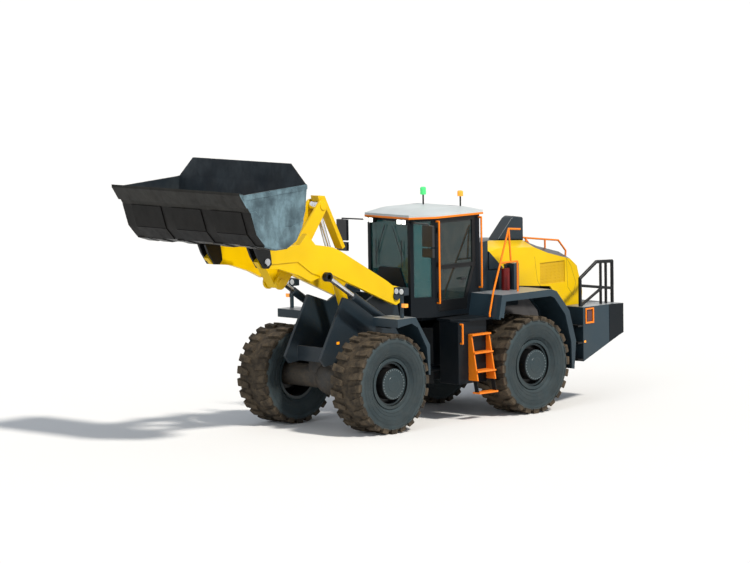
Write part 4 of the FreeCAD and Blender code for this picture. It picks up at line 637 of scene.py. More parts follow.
class Bench:
    """Modelling moves that every sub-assembly uses."""

    @staticmethod
    def only(piece: Piece) -> None:
        """Selects one object and nothing else.

        Args:
            piece: the object.
        """
        for other in list(bpy.context.selected_objects):
            other.select_set(False)
        piece.select_set(True)
        bpy.context.view_layer.objects.active = piece

    @staticmethod
    def apply(piece: Piece, kind: str, **settings: object) -> None:
        """Adds a modifier and applies it.

        Args:
            piece: the object to change.
            kind: the modifier's type.
            settings: its settings.
        """
        Bench.only(piece)
        modifier = piece.modifiers.new(kind.lower(), kind)
        for name, value in settings.items():
            setattr(modifier, name, value)
        bpy.ops.object.modifier_apply(modifier=modifier.name)

    @staticmethod
    def rounded(piece: Piece, width: float, segments: int = 2, angle: float = 30.0) -> None:
        """Rounds sharp edges and shades the piece with normals weighted by face.

        Args:
            piece: the object to change.
            width: width of the rounding.
            segments: facets across it.
            angle: edges sharper than this many degrees are rounded.
        """
        Bench.apply(piece, "BEVEL", width=width, segments=segments, limit_method="ANGLE",
                    angle_limit=math.radians(angle), use_clamp_overlap=True)
        bpy.ops.object.shade_smooth_by_angle(angle=math.radians(38))
        Bench.apply(piece, "WEIGHTED_NORMAL", keep_sharp=True)

    @staticmethod
    def softened(node: str, name: str, width: float, segments: int = 2) -> Piece:
        """A copy of a frame node with its edges rounded, standing for it.

        Args:
            node: the frame node.
            name: name of the new piece.
            width: width of the rounding.
            segments: facets across it.

        Returns:
            The new piece.
        """
        source = frame["nodes"][node]
        piece = bpy.data.objects.new(name, source.data.copy())
        piece.data.materials.clear()
        bpy.context.scene.collection.objects.link(piece)
        Bench.only(piece)
        bpy.ops.object.mode_set(mode="EDIT")
        bpy.ops.mesh.select_all(action="SELECT")
        bpy.ops.mesh.remove_doubles(threshold=0.0001)
        bpy.ops.mesh.dissolve_limited(angle_limit=math.radians(2.0))
        bpy.ops.object.mode_set(mode="OBJECT")
        Bench.rounded(piece, width, segments)
        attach(piece, source["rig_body"])
        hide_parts(node)
        LOG.info("%s for %s", name, node)
        return piece

    @staticmethod
    def paint(piece: Piece, *finishes: Finish, choose: Chooser | None = None) -> None:
        """Gives a piece its materials, face by face where there are several.

        Args:
            piece: the object.
            finishes: its finishes in order.
            choose: index of a face's finish, from its centre and its normal.
        """
        piece.data.materials.clear()
        for finish in finishes:
            piece.data.materials.append(Finishes.of(finish))
        if choose:
            for face in piece.data.polygons:
                face.material_index = choose(face.center, face.normal)

    @staticmethod
    def pick(piece: Piece, wanted: Callable[[bpy.types.MeshPolygon], bool]) -> None:
        """Enters edit mode with the wanted faces selected.

        Args:
            piece: the object to edit.
            wanted: whether a face is selected.
        """
        Bench.only(piece)
        bpy.ops.object.mode_set(mode="EDIT")
        bpy.ops.mesh.select_mode(type="FACE")
        bpy.ops.mesh.select_all(action="DESELECT")
        bpy.ops.object.mode_set(mode="OBJECT")
        for face in piece.data.polygons:
            face.select = wanted(face)
        bpy.ops.object.mode_set(mode="EDIT")

    @staticmethod
    def settle(piece: Piece, name: str) -> Piece:
        """Applies an object's place, turn and size, and names it.

        Args:
            piece: the object.
            name: its name.

        Returns:
            The object.
        """
        Bench.only(piece)
        bpy.ops.object.transform_apply(location=True, rotation=True, scale=True)
        piece.name = name
        return piece

    @staticmethod
    def block(name: str, low: Point, high: Point, width: float = 0.004) -> Piece:
        """A box with rounded edges.

        Args:
            name: its name.
            low: lowest corner.
            high: highest corner.
            width: width of the rounding.

        Returns:
            The box.
        """
        bpy.ops.mesh.primitive_cube_add(size=1.0, location=middle(low, high),
                                        scale=Vector(high) - Vector(low))
        piece = Bench.settle(bpy.context.object, name)
        Bench.rounded(piece, width)
        return piece

    @staticmethod
    def rod(name: str, start: Point, end: Point, radius: float, sides: int = 24,
            width: float = 0.0015) -> Piece:
        """A round bar between two points.

        Args:
            name: its name.
            start: one end.
            end: other end.
            radius: its radius.
            sides: facets round it.
            width: width of the rounding at its ends.

        Returns:
            The bar.
        """
        line = Vector(end) - Vector(start)
        turn = line.to_track_quat("Z", "Y").to_euler()
        bpy.ops.mesh.primitive_cylinder_add(vertices=sides, radius=radius, depth=line.length,
                                            location=middle(start, end), rotation=turn)
        piece = Bench.settle(bpy.context.object, name)
        Bench.rounded(piece, width, 1, 50.0)
        return piece

    @staticmethod
    def turned(name: str, centre: Point, radius: float, depth: float, sides: int,
               steps: dict[Side, Steps], hollow: bool = False) -> Piece:
        """A disc about the Y axis whose faces are stepped inwards ring by ring.

        Args:
            name: its name.
            centre: its middle.
            radius: outer radius.
            depth: thickness at the outer radius.
            sides: facets round it.
            steps: for each side, rows of (inset, push).
            hollow: whether the two inner faces are joined by a bore.

        Returns:
            The disc.
        """
        bpy.ops.mesh.primitive_cylinder_add(vertices=sides, radius=radius, depth=depth, location=centre,
                                            rotation=(math.radians(90.0), 0.0, 0.0))
        piece = Bench.settle(bpy.context.object, name)
        for side, rows in steps.items():
            Bench.pick(piece, lambda face: len(face.vertices) == sides and face.normal.y * side.value > 0.9)
            for inset, push in rows:
                bpy.ops.mesh.inset(thickness=inset, depth=push)
            bpy.ops.object.mode_set(mode="OBJECT")
        if hollow:
            Bench.pick(piece, lambda face: len(face.vertices) == sides and abs(face.normal.y) > 0.9)
            bpy.ops.mesh.bridge_edge_loops()
            bpy.ops.object.mode_set(mode="OBJECT")
        return piece

    @staticmethod
    def turns(count: int, lead: float = 0.0) -> list[Matrix]:
        """Even turns about the Y axis, the first one ahead by a share of a step."""
        return [Matrix.Rotation(2 * math.pi * (k + lead) / count, 4, "Y") for k in range(count)]

    @staticmethod
    def about(hub: Vector, zone: Chooser) -> Chooser:
        """A chooser whose places are measured from a wheel's middle."""
        return lambda centre, normal: zone(centre - hub, normal)

    @staticmethod
    def copied(piece: Piece, places: list[Matrix]) -> list[Piece]:
        """Copies of a piece, each with its own mesh.

        Args:
            piece: what is copied; it stays.
            places: where each copy goes.

        Returns:
            The copies.
        """
        copies = []
        for place in places:
            copy = bpy.data.objects.new(piece.name, piece.data.copy())
            copy.matrix_world = place
            bpy.context.scene.collection.objects.link(copy)
            copies.append(copy)
        return copies

    @staticmethod
    def joined(name: str, pieces: list[Piece]) -> Piece:
        """Makes one object of several.

        Args:
            name: its name.
            pieces: what is joined.

        Returns:
            The joined object.
        """
        Bench.only(pieces[0])
        for piece in pieces:
            piece.select_set(True)
        bpy.ops.object.join()
        return Bench.settle(bpy.context.object, name)

    @staticmethod
    def drop(piece: Piece) -> None:
        """Removes a pattern piece that was only copied."""
        bpy.data.objects.remove(piece)

    @staticmethod
    def fit(piece: Piece, body: str, *finishes: Finish, choose: Chooser | None = None) -> Piece:
        """Paints a new piece and lets it ride on a body.

        Args:
            piece: the piece, in its place.
            body: the body that carries it.
            finishes: its finishes.
            choose: index of a face's finish.

        Returns:
            The piece.
        """
        Bench.paint(piece, *finishes, choose=choose)
        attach(piece, body)
        LOG.info("%s on %s", piece.name, body)
        return piece


@dataclass
class Studio:
    """Camera, floor and lamps."""

    azimuth: float = 44.995
    elevation: float = 5.792
    roll: float = -0.808
    distance: float = 96.053
    target: Point = (0.192, 0.0, 2.659)
    focal: float = 5074.2
    frame_width: float = 750.0
    sensor: float = 36.0
    floor_size: float = 400.0
    floor_top: float = -0.002
    floor_colour: Colour = (0.72, 0.71, 0.69)
    sky_colour: Colour = (0.80, 0.88, 1.0)
    sky_strength: float = 0.48
    backdrop: Colour = (0.93, 0.93, 0.93)

    def camera(self) -> None:
        """Stands the camera where the photograph was taken from."""
        turn, lift = math.radians(self.azimuth), math.radians(self.elevation)
        back = Vector((math.sin(turn) * math.cos(lift), math.cos(turn) * math.cos(lift), math.sin(lift)))
        right = (-back).cross(Vector((0, 0, 1))).normalized()
        up = right.cross(-back)
        roll = math.radians(self.roll)
        rolled_right = right * math.cos(roll) + up * math.sin(roll)
        rolled_up = up * math.cos(roll) - right * math.sin(roll)
        data = bpy.data.cameras.new("photograph_camera")
        data.sensor_width = self.sensor
        data.lens = self.focal * self.sensor / self.frame_width
        data.clip_end = 1000.0
        camera = bpy.data.objects.new("photograph_camera", data)
        axes = Matrix((rolled_right, rolled_up, back)).transposed().to_4x4()
        camera.matrix_world = Matrix.Translation(Vector(self.target) + back * self.distance) @ axes
        bpy.context.scene.collection.objects.link(camera)
        bpy.context.scene.camera = camera

    def floor(self) -> None:
        """Lays a pale floor."""
        bpy.ops.mesh.primitive_plane_add(size=self.floor_size, location=(0.0, 0.0, self.floor_top))
        floor = bpy.context.object
        floor.name = "studio_floor"
        sheet = ShaderSheet("pale_floor")
        sheet.surface(base_color=self.floor_colour, roughness=0.9)
        floor.data.materials.append(sheet.material)

    def lamps(self) -> None:
        """Hangs a key, a fill and an even sky."""
        scene = bpy.context.scene
        scene.world = bpy.data.worlds.new("studio_sky")
        scene.world.use_nodes = True
        tree = scene.world.node_tree
        sky = tree.nodes["Background"]
        sky.inputs["Color"].default_value = (*self.sky_colour, 1.0)
        sky.inputs["Strength"].default_value = self.sky_strength
        seen = tree.nodes.new("ShaderNodeBackground")
        seen.inputs["Color"].default_value = (*self.backdrop, 1.0)
        seen.inputs["Strength"].default_value = 1.0
        path = tree.nodes.new("ShaderNodeLightPath")
        mix = tree.nodes.new("ShaderNodeMixShader")
        white_for = path.outputs["Is Camera Ray"]
        for ray in ("Is Glossy Ray", "Is Transmission Ray"):
            either = tree.nodes.new("ShaderNodeMath")
            either.operation = "MAXIMUM"
            tree.links.new(white_for, either.inputs[0])
            tree.links.new(path.outputs[ray], either.inputs[1])
            white_for = either.outputs["Value"]
        share, lighting, shown = mix.inputs
        tree.links.new(white_for, share)
        tree.links.new(sky.outputs["Background"], lighting)
        tree.links.new(seen.outputs["Background"], shown)
        tree.links.new(mix.outputs["Shader"], tree.nodes["World Output"].inputs["Surface"])
        # name, azimuth, elevation, strength, soft angle, colour
        table = (("key_lamp", 92.0, 50.0, 3.9, 6.0, (1.0, 0.96, 0.90)),
                 ("fill_lamp", 20.0, 25.0, 0.8, 40.0, (0.85, 0.92, 1.0)))
        for name, azimuth, elevation, strength, soft, colour in table:
            data = bpy.data.lights.new(name, "SUN")
            data.energy = strength
            data.angle = math.radians(soft)
            data.color = colour
            lamp = bpy.data.objects.new(name, data)
            turn, lift = math.radians(azimuth), math.radians(elevation)
            level = math.cos(lift)
            toward = Vector((math.cos(turn) * level, math.sin(turn) * level, math.sin(lift)))
            lamp.rotation_euler = toward.to_track_quat("Z", "Y").to_euler()
            scene.collection.objects.link(lamp)

    def build(self) -> None:
        """Sets the whole studio up."""
        self.camera()
        self.floor()
        self.lamps()


@dataclass
class PlainDress:
    """Frame nodes that only need rounded edges and their finish, or only their finish."""

    # node, finish, width of its rounded edges
    rounded: tuple[tuple[str, Finish, float], ...] = (
        ("bell_crank", YELLOW, 0.010), ("tilt_link", YELLOW, 0.008), ("tilt_guard", YELLOW, 0.006),
        ("tilt_barrel", YELLOW, 0.004), ("lift_barrels", FRAME, 0.004), ("front_frame", FRAME, 0.008),
        ("front_axle", AXLE, 0.008), ("rear_axle", AXLE, 0.008), ("front_fenders", GREY, 0.014),
        ("rear_frame", DARK, 0.006), ("engine_block", IRON, 0.010), ("cooling_pack", IRON, 0.008),
        ("steering_console", PLASTIC, 0.008), ("rear_fenders", GREY, 0.014), ("side_decks", DARK, 0.006),
        ("side_boxes", DARK, 0.012), ("hand_rails", ORANGE, 0.002), ("hood_rails", ORANGE, 0.002),
        ("front_cowl", FRAME, 0.010), ("guard_rails", BLACK, 0.002), ("steer_barrel_left", DARK, 0.003),
        ("steer_barrel_right", DARK, 0.003))
    # node, finish
    kept: tuple[tuple[str, Finish], ...] = (
        ("tilt_rod", CHROME), ("steer_rod_left", CHROME), ("steer_rod_right", CHROME), ("cab_glass", GLASS),
        ("door_glass", DOOR_GLASS))

    def build(self) -> None:
        """Rounds and paints each node."""
        for node, finish, width in self.rounded:
            Bench.paint(Bench.softened(node, node + "_finished", width), finish)
        for node, finish in self.kept:
            Bench.paint(frame["nodes"][node], finish)
            LOG.info("%s painted", node)


@dataclass
class Wheels:
    """Tyres with their lugs, rims with hub plate and bolts."""

    casing_radius: float = 0.8895
    casing_width: float = 0.670
    # inset towards the rim, push outwards: shoulder, wall with three moulded rings, bead
    wall: Steps = ((0.030, 0.017), (0.060, 0.012), (0.035, 0.004), (0.006, -0.004), (0.004, 0.004),
                   (0.060, 0.002), (0.006, -0.004), (0.004, 0.004), (0.070, -0.006), (0.006, -0.004),
                   (0.004, 0.004), (0.050, -0.014), (0.006, -0.004), (0.004, 0.004), (0.035, -0.038),
                   (0.0235, -0.026), (0.0445, 0.0))
    # radius outside which the tread begins
    tread_from: float = 0.862
    lug_count: int = 24
    lug_size: Point = (0.150, 0.290, 0.098)
    # middle of a lug, from the tread's middle and from the axle
    lug_across: float = 0.232
    lug_reach: float = 0.8845
    # length of its inner end as a share, and how far that end leads
    lug_taper: float = 0.66
    lug_lead: float = 0.055
    # middle of the hub plate from the tyre's middle, its radius, its thickness and its rings
    plate_across: float = 0.357
    plate_radius: float = 0.288
    plate_depth: float = 0.008
    plate_rings: Steps = ((0.042, 0.0), (0.003, -0.003), (0.004, 0.003), (0.090, 0.0), (0.006, 0.006),
                          (0.060, 0.0), (0.003, -0.003), (0.004, 0.003))
    # the same of the lock ring
    lock_across: float = 0.246
    lock_radius: float = 0.4165
    lock_depth: float = 0.036
    lock_outer: Steps = ((0.008, 0.006), (0.034, 0.0))
    lock_inner: Steps = ((0.008, 0.0), (0.034, 0.0))
    bolt_count: int = 30
    bolt_circle: float = 0.266
    bolt_radius: float = 0.0135
    # a bolt's two ends from the tyre's middle
    bolt_foot: float = 0.359
    bolt_head: float = 0.369
    # the rim is black nearer to the tyre's middle than this, and on walls inside this radius
    dark_across: float = 0.26
    dark_radius: float = 0.30

    def lug(self, side: Side) -> Piece:
        """One lug at the tyre's top, narrowing and leaning towards the middle of the tread.

        Args:
            side: which shoulder it stands on.

        Returns:
            The lug.
        """
        spot = (0.0, side.value * self.lug_across, self.lug_reach)
        bpy.ops.mesh.primitive_cube_add(size=1.0, location=spot, scale=self.lug_size)
        piece = Bench.settle(bpy.context.object, "tyre_lug")
        Bench.pick(piece, lambda face: face.normal.y * side.value < -0.9)
        bpy.ops.transform.resize(value=(self.lug_taper, 1.0, 1.0))
        bpy.ops.transform.translate(value=(self.lug_lead, 0.0, 0.0))
        bpy.ops.object.mode_set(mode="OBJECT")
        Bench.rounded(piece, 0.012, 2)
        return piece

    def tyre(self) -> Piece:
        """One tyre about the origin's Y axis.

        Returns:
            The tyre.
        """
        casing = Bench.turned("tyre", (0.0, 0.0, 0.0), self.casing_radius, self.casing_width, 96,
                              {Side.LEFT: self.wall, Side.RIGHT: self.wall}, hollow=True)
        Bench.only(casing)
        bpy.ops.object.shade_smooth_by_angle(angle=math.radians(30))
        lugs = []
        for side, lead in ((Side.LEFT, 0.0), (Side.RIGHT, 0.5)):
            pattern = self.lug(side)
            lugs += Bench.copied(pattern, Bench.turns(self.lug_count, lead))
            Bench.drop(pattern)
        return Bench.joined("tyre", [casing] + lugs)

    def hub_plate(self, side: Side) -> Piece:
        """Stepped plate with its ring of bolts, and the lock ring behind it, about the origin's Y axis.

        Args:
            side: which way the wheel's outer face points.

        Returns:
            The joined pieces.
        """
        out = side.value
        plate = Bench.turned("hub_plate", (0.0, out * self.plate_across, 0.0), self.plate_radius,
                             self.plate_depth, 64, {side: self.plate_rings})
        lock = Bench.turned("lock_ring", (0.0, out * self.lock_across, 0.0), self.lock_radius,
                            self.lock_depth, 64,
                            {Side.LEFT: self.lock_outer, Side.RIGHT: self.lock_inner}, hollow=True)
        for piece in (plate, lock):
            Bench.rounded(piece, 0.0015, 1)
        bolt = Bench.rod("wheel_bolt", (self.bolt_circle, out * self.bolt_foot, 0.0),
                         (self.bolt_circle, out * self.bolt_head, 0.0), self.bolt_radius, 6, 0.002)
        bolts = Bench.copied(bolt, Bench.turns(self.bolt_count))
        Bench.drop(bolt)
        return Bench.joined("hub_plate", [plate, lock] + bolts)

    def tyre_zone(self, spot: Vector, _normal: Vector) -> int:
        """Finish of a tyre's face, placed from the wheel's middle: 0 wall, 1 tread."""
        return int(math.hypot(spot.x, spot.z) > self.tread_from)

    def rim_zone(self, spot: Vector, normal: Vector) -> int:
        """Finish of a rim's face, placed from the wheel's middle: 0 paint, 1 black."""
        inner_wall = abs(normal.y) < 0.5 and math.hypot(spot.x, spot.z) < self.dark_radius
        return int(abs(spot.y) < self.dark_across or inner_wall)

    def plate_zone(self, spot: Vector, normal: Vector) -> int:
        """Finish of a hub plate's face.

        Args:
            spot: the face's place from the wheel's middle.
            normal: its normal.

        Returns:
            0 plate, 1 bolt, 2 black step.
        """
        from_circle = abs(math.hypot(spot.x, spot.z) - self.bolt_circle)
        if from_circle < 0.016 and abs(spot.y) > self.bolt_foot + 0.0022:
            return 1
        return 2 if abs(normal.y) < 0.5 and abs(spot.y) > 0.3 else 0

    def build(self) -> None:
        """Dresses the four wheels."""
        tyre = self.tyre()
        plates = {side: self.hub_plate(side) for side in Side}
        # wheel, place of its axle along X, side
        table = (("front_left", FRONT_AXLE_X, Side.LEFT), ("front_right", FRONT_AXLE_X, Side.RIGHT),
                 ("rear_left", REAR_AXLE_X, Side.LEFT), ("rear_right", REAR_AXLE_X, Side.RIGHT))
        for wheel, x, side in table:
            body = "wheel_" + wheel
            hub = Vector((x, side.value * TRACK_HALF, AXLE_HEIGHT))
            place = Matrix.Translation(hub)
            casing = Bench.settle(Bench.copied(tyre, [place])[0], "tyre_finished_" + wheel)
            Bench.fit(casing, body, WALL_RUBBER, TREAD_RUBBER, choose=Bench.about(hub, self.tyre_zone))
            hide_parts("tyre_" + wheel)
            rim = Bench.softened("rim_" + wheel, "rim_finished_" + wheel, 0.006)
            Bench.paint(rim, RIM, BLACK, choose=Bench.about(hub, self.rim_zone))
            plate = Bench.settle(Bench.copied(plates[side], [place])[0], "hub_plate_" + wheel)
            Bench.fit(plate, body, RIM, HUB_BOLT, BLACK, choose=Bench.about(hub, self.plate_zone))
        for pattern in (tyre, *plates.values()):
            Bench.drop(pattern)


@dataclass
class Bucket:
    """Scoured side plates, underside and wear plates painted near black as shade, dusty lip; the coupler's
    bright pins.
    """

    half_width: float = 1.70
    lip_x: float = FRONT_AXLE_X + 3.69
    hollow: Point = (FRONT_AXLE_X + 3.0, 0.0, 4.45)
    plate_half_width: float = 0.40
    plate_spacing: float = 1.07
    plate_depth: float = 0.016
    # middle of a row of wear plates, its lean in degrees and its length along the profile
    rows: tuple[tuple[float, float, float, float], ...] = (
        (4.975, 4.195, 18.85, 0.433), (4.800, 3.880, 43.65, 0.296))
    pin_x: float = FRONT_AXLE_X + 2.40
    pin_z: float = 3.35
    pin_radius: float = 0.05

    def zone(self, centre: Vector, normal: Vector) -> int:
        """Which finish a face of the bucket has.

        Args:
            centre: the face's centre.
            normal: its normal.

        Returns:
            0 side plate, 1 underside in painted shade, 2 lip, 3 inside.
        """
        if abs(centre.y) > self.half_width - 0.012:
            return 0
        inward = Vector(self.hollow) - centre
        inward.y = 0.0
        if abs(normal.y) > 0.8 or normal.dot(inward) > 0.0:
            return 3
        return 2 if centre.x > self.lip_x else 1

    def pin_zone(self, centre: Vector, normal: Vector) -> int:
        """Finish of a face of the coupler: 0 plates, 1 ends of the lower pins."""
        from_pin = math.hypot(centre.x - self.pin_x, centre.z - self.pin_z)
        return int(abs(normal.y) > 0.9 and from_pin < self.pin_radius and abs(centre.y) > 0.75)

    def wear_plates(self) -> None:
        """Three wear plates to a row, under the floor and round the heel."""
        plates = []
        across, depth = self.plate_half_width, self.plate_depth
        for x, z, lean, length in self.rows:
            plate = Bench.block("wear_plate", (-0.002, -across, -0.5 * length), (depth, across, 0.5 * length),
                                0.005)
            turn = Matrix.Rotation(math.radians(lean), 4, "Y")
            places = [Matrix.Translation((x, k * self.plate_spacing, z)) @ turn for k in (-1, 0, 1)]
            plates += Bench.copied(plate, places)
            Bench.drop(plate)
        # the wear plates take the underside's near-black painted shade
        Bench.fit(Bench.joined("bucket_wear_plates", plates), "bucket", BUCKET_UNDERSIDE_SHADE)

    def build(self) -> None:
        """Dresses the bucket and its coupler."""
        self.wear_plates()
        shell = Bench.softened("bucket", "bucket_finished", 0.007)
        Bench.paint(shell, BUCKET_SIDE, BUCKET_UNDERSIDE_SHADE, BUCKET_LIP, BUCKET_INSIDE, choose=self.zone)
        coupler = Bench.softened("quick_coupler", "quick_coupler_finished", 0.008)
        Bench.paint(coupler, BLACK, STEEL, choose=self.pin_zone)


@dataclass
class Linkage:
    """Boom arms with their pin caps, and the lift rods with dark eyes."""

    crank_pin: Point = (FRONT_AXLE_X + 1.06, 0.7005, 3.36)
    cap_radius: float = 0.085
    bolt_radius: float = 0.011
    eye_x: float = FRONT_AXLE_X + 0.88
    eye_z: float = 2.96
    eye_radius: float = 0.115

    def cap(self, name: str, side: Side) -> Piece:
        """Cap of the crank's pin with three bolts, on the outside of an arm.

        Args:
            name: its name.
            side: which way it faces.

        Returns:
            The joined cap.
        """
        x, y, z = self.crank_pin
        out, radius = side.value, self.cap_radius
        disc = Bench.turned("cap", (x, out * (y + 0.006), z), radius, 0.012, 32,
                            {side: ((radius * 0.35, 0.0), (0.003, -0.003), (0.003, 0.003))})
        Bench.rounded(disc, 0.002, 1)
        bolts = []
        for k in range(3):
            turn = math.radians(90 + 120 * k)
            px, pz = x + 0.72 * radius * math.cos(turn), z + 0.72 * radius * math.sin(turn)
            bolts.append(Bench.rod("cap_bolt", (px, out * (y + 0.010), pz), (px, out * (y + 0.022), pz),
                                   self.bolt_radius, 6))
        return Bench.joined(name, [disc] + bolts)

    def rod_zone(self, centre: Vector, _normal: Vector) -> int:
        """Finish of a face of the lift rods: 0 rod, 1 eye."""
        return int(math.hypot(centre.x - self.eye_x, centre.z - self.eye_z) < self.eye_radius)

    def build(self) -> None:
        """Dresses the boom and rods."""
        boom = Bench.softened("boom", "boom_finished", 0.012)
        Bench.paint(boom, YELLOW)
        rods = Bench.softened("lift_rods", "lift_rods_finished", 0.003)
        Bench.paint(rods, CHROME, BLACK, choose=self.rod_zone)
        for side in Side:
            Bench.fit(self.cap("crank_pin_cap_" + side.name.lower(), side), "boom", YELLOW)


@dataclass
class Lamps:
    """Head lamps, work lamps, beacons, tail lamps and reflectors."""

    roof_top: float = 3.995
    dome_foot: float = 4.185
    # the roof's lit lenses are in front of the first place and behind the second
    lit_front_x: float = -0.09
    lit_rear_x: float = -1.94
    # the front stand's signal lies outside this width, between these heights
    signal_across: float = 1.499
    signal_heights: tuple[float, float] = (2.31, 2.55)
    # where a tail lamp is red, on the left
    red_field: Box = ((-4.400, 0.0, 1.61), (-4.250, 1.3605, 1.81))
    head_x: float = 1.020
    head_across: tuple[float, float] = (1.395, 1.525)
    head_z: float = 2.630
    head_radius: float = 0.052
    head_depth: float = 0.014
    # name, body, corners on the left
    reflectors: tuple[tuple[str, str, Box], ...] = (
        ("rear_reflector", "rear_body", ((-4.215, 1.350, 1.195), (-4.165, 1.356, 1.235))),
        ("side_reflector", "front_body", ((1.660, 0.500, 1.630), (1.730, 0.506, 1.680))))

    def roof_zone(self, centre: Vector, normal: Vector) -> int:
        """Finish of a face on the roof's lamps.

        Args:
            centre: the face's centre.
            normal: its normal.

        Returns:
            0 housing, 1 lit lens, 2 green dome, 3 amber dome.
        """
        if centre.z > self.dome_foot - 0.001:
            return 2 if centre.y < 0 else 3
        at_lens = centre.x > self.lit_front_x or centre.x < self.lit_rear_x
        return int(abs(normal.x) > 0.9 and centre.z < self.roof_top - 0.1 and at_lens)

    def front_zone(self, centre: Vector, _normal: Vector) -> int:
        """Finish of a face of the front lamps.

        Args:
            centre: the face's centre.
            _normal: its normal, not needed here.

        Returns:
            0 head lamp, 1 amber signal, 2 stand.
        """
        low, high = self.signal_heights
        if centre.z > high:
            return 0
        return 1 if centre.z > low and abs(centre.y) > self.signal_across else 2

    def tail_zone(self, centre: Vector, _normal: Vector) -> int:
        """Finish of a face of the tail lamps: 0 guard, 1 red lens."""
        return int(inside(self.red_field, centre))

    def build(self) -> None:
        """Dresses every lamp."""
        roof = Bench.softened("roof_lamps", "roof_lamps_finished", 0.006)
        Bench.paint(roof, BLACK, CLEAR_LENS, GREEN_LENS, AMBER_LENS, choose=self.roof_zone)
        front = Bench.softened("front_lamps", "front_lamps_finished", 0.010)
        Bench.paint(front, FRAME, AMBER_LENS, GREY, choose=self.front_zone)
        tail = Bench.softened("tail_lamps", "tail_lamps_finished", 0.004)
        Bench.paint(tail, ORANGE, RED_LENS, choose=self.tail_zone)
        for side in Side:
            word = side.name.lower()
            for k, across in enumerate(self.head_across):
                y = side.value * across
                lens = Bench.rod(f"head_lens_{word}_{k}", (self.head_x, y, self.head_z),
                                 (self.head_x + self.head_depth, y, self.head_z), self.head_radius, 32, 0.004)
                Bench.fit(lens, "front_body", HEAD_LENS)
            for name, body, box in self.reflectors:
                Bench.fit(Bench.block(f"{name}_{word}", *mirrored(box, side), 0.002), body, AMBER_LENS)


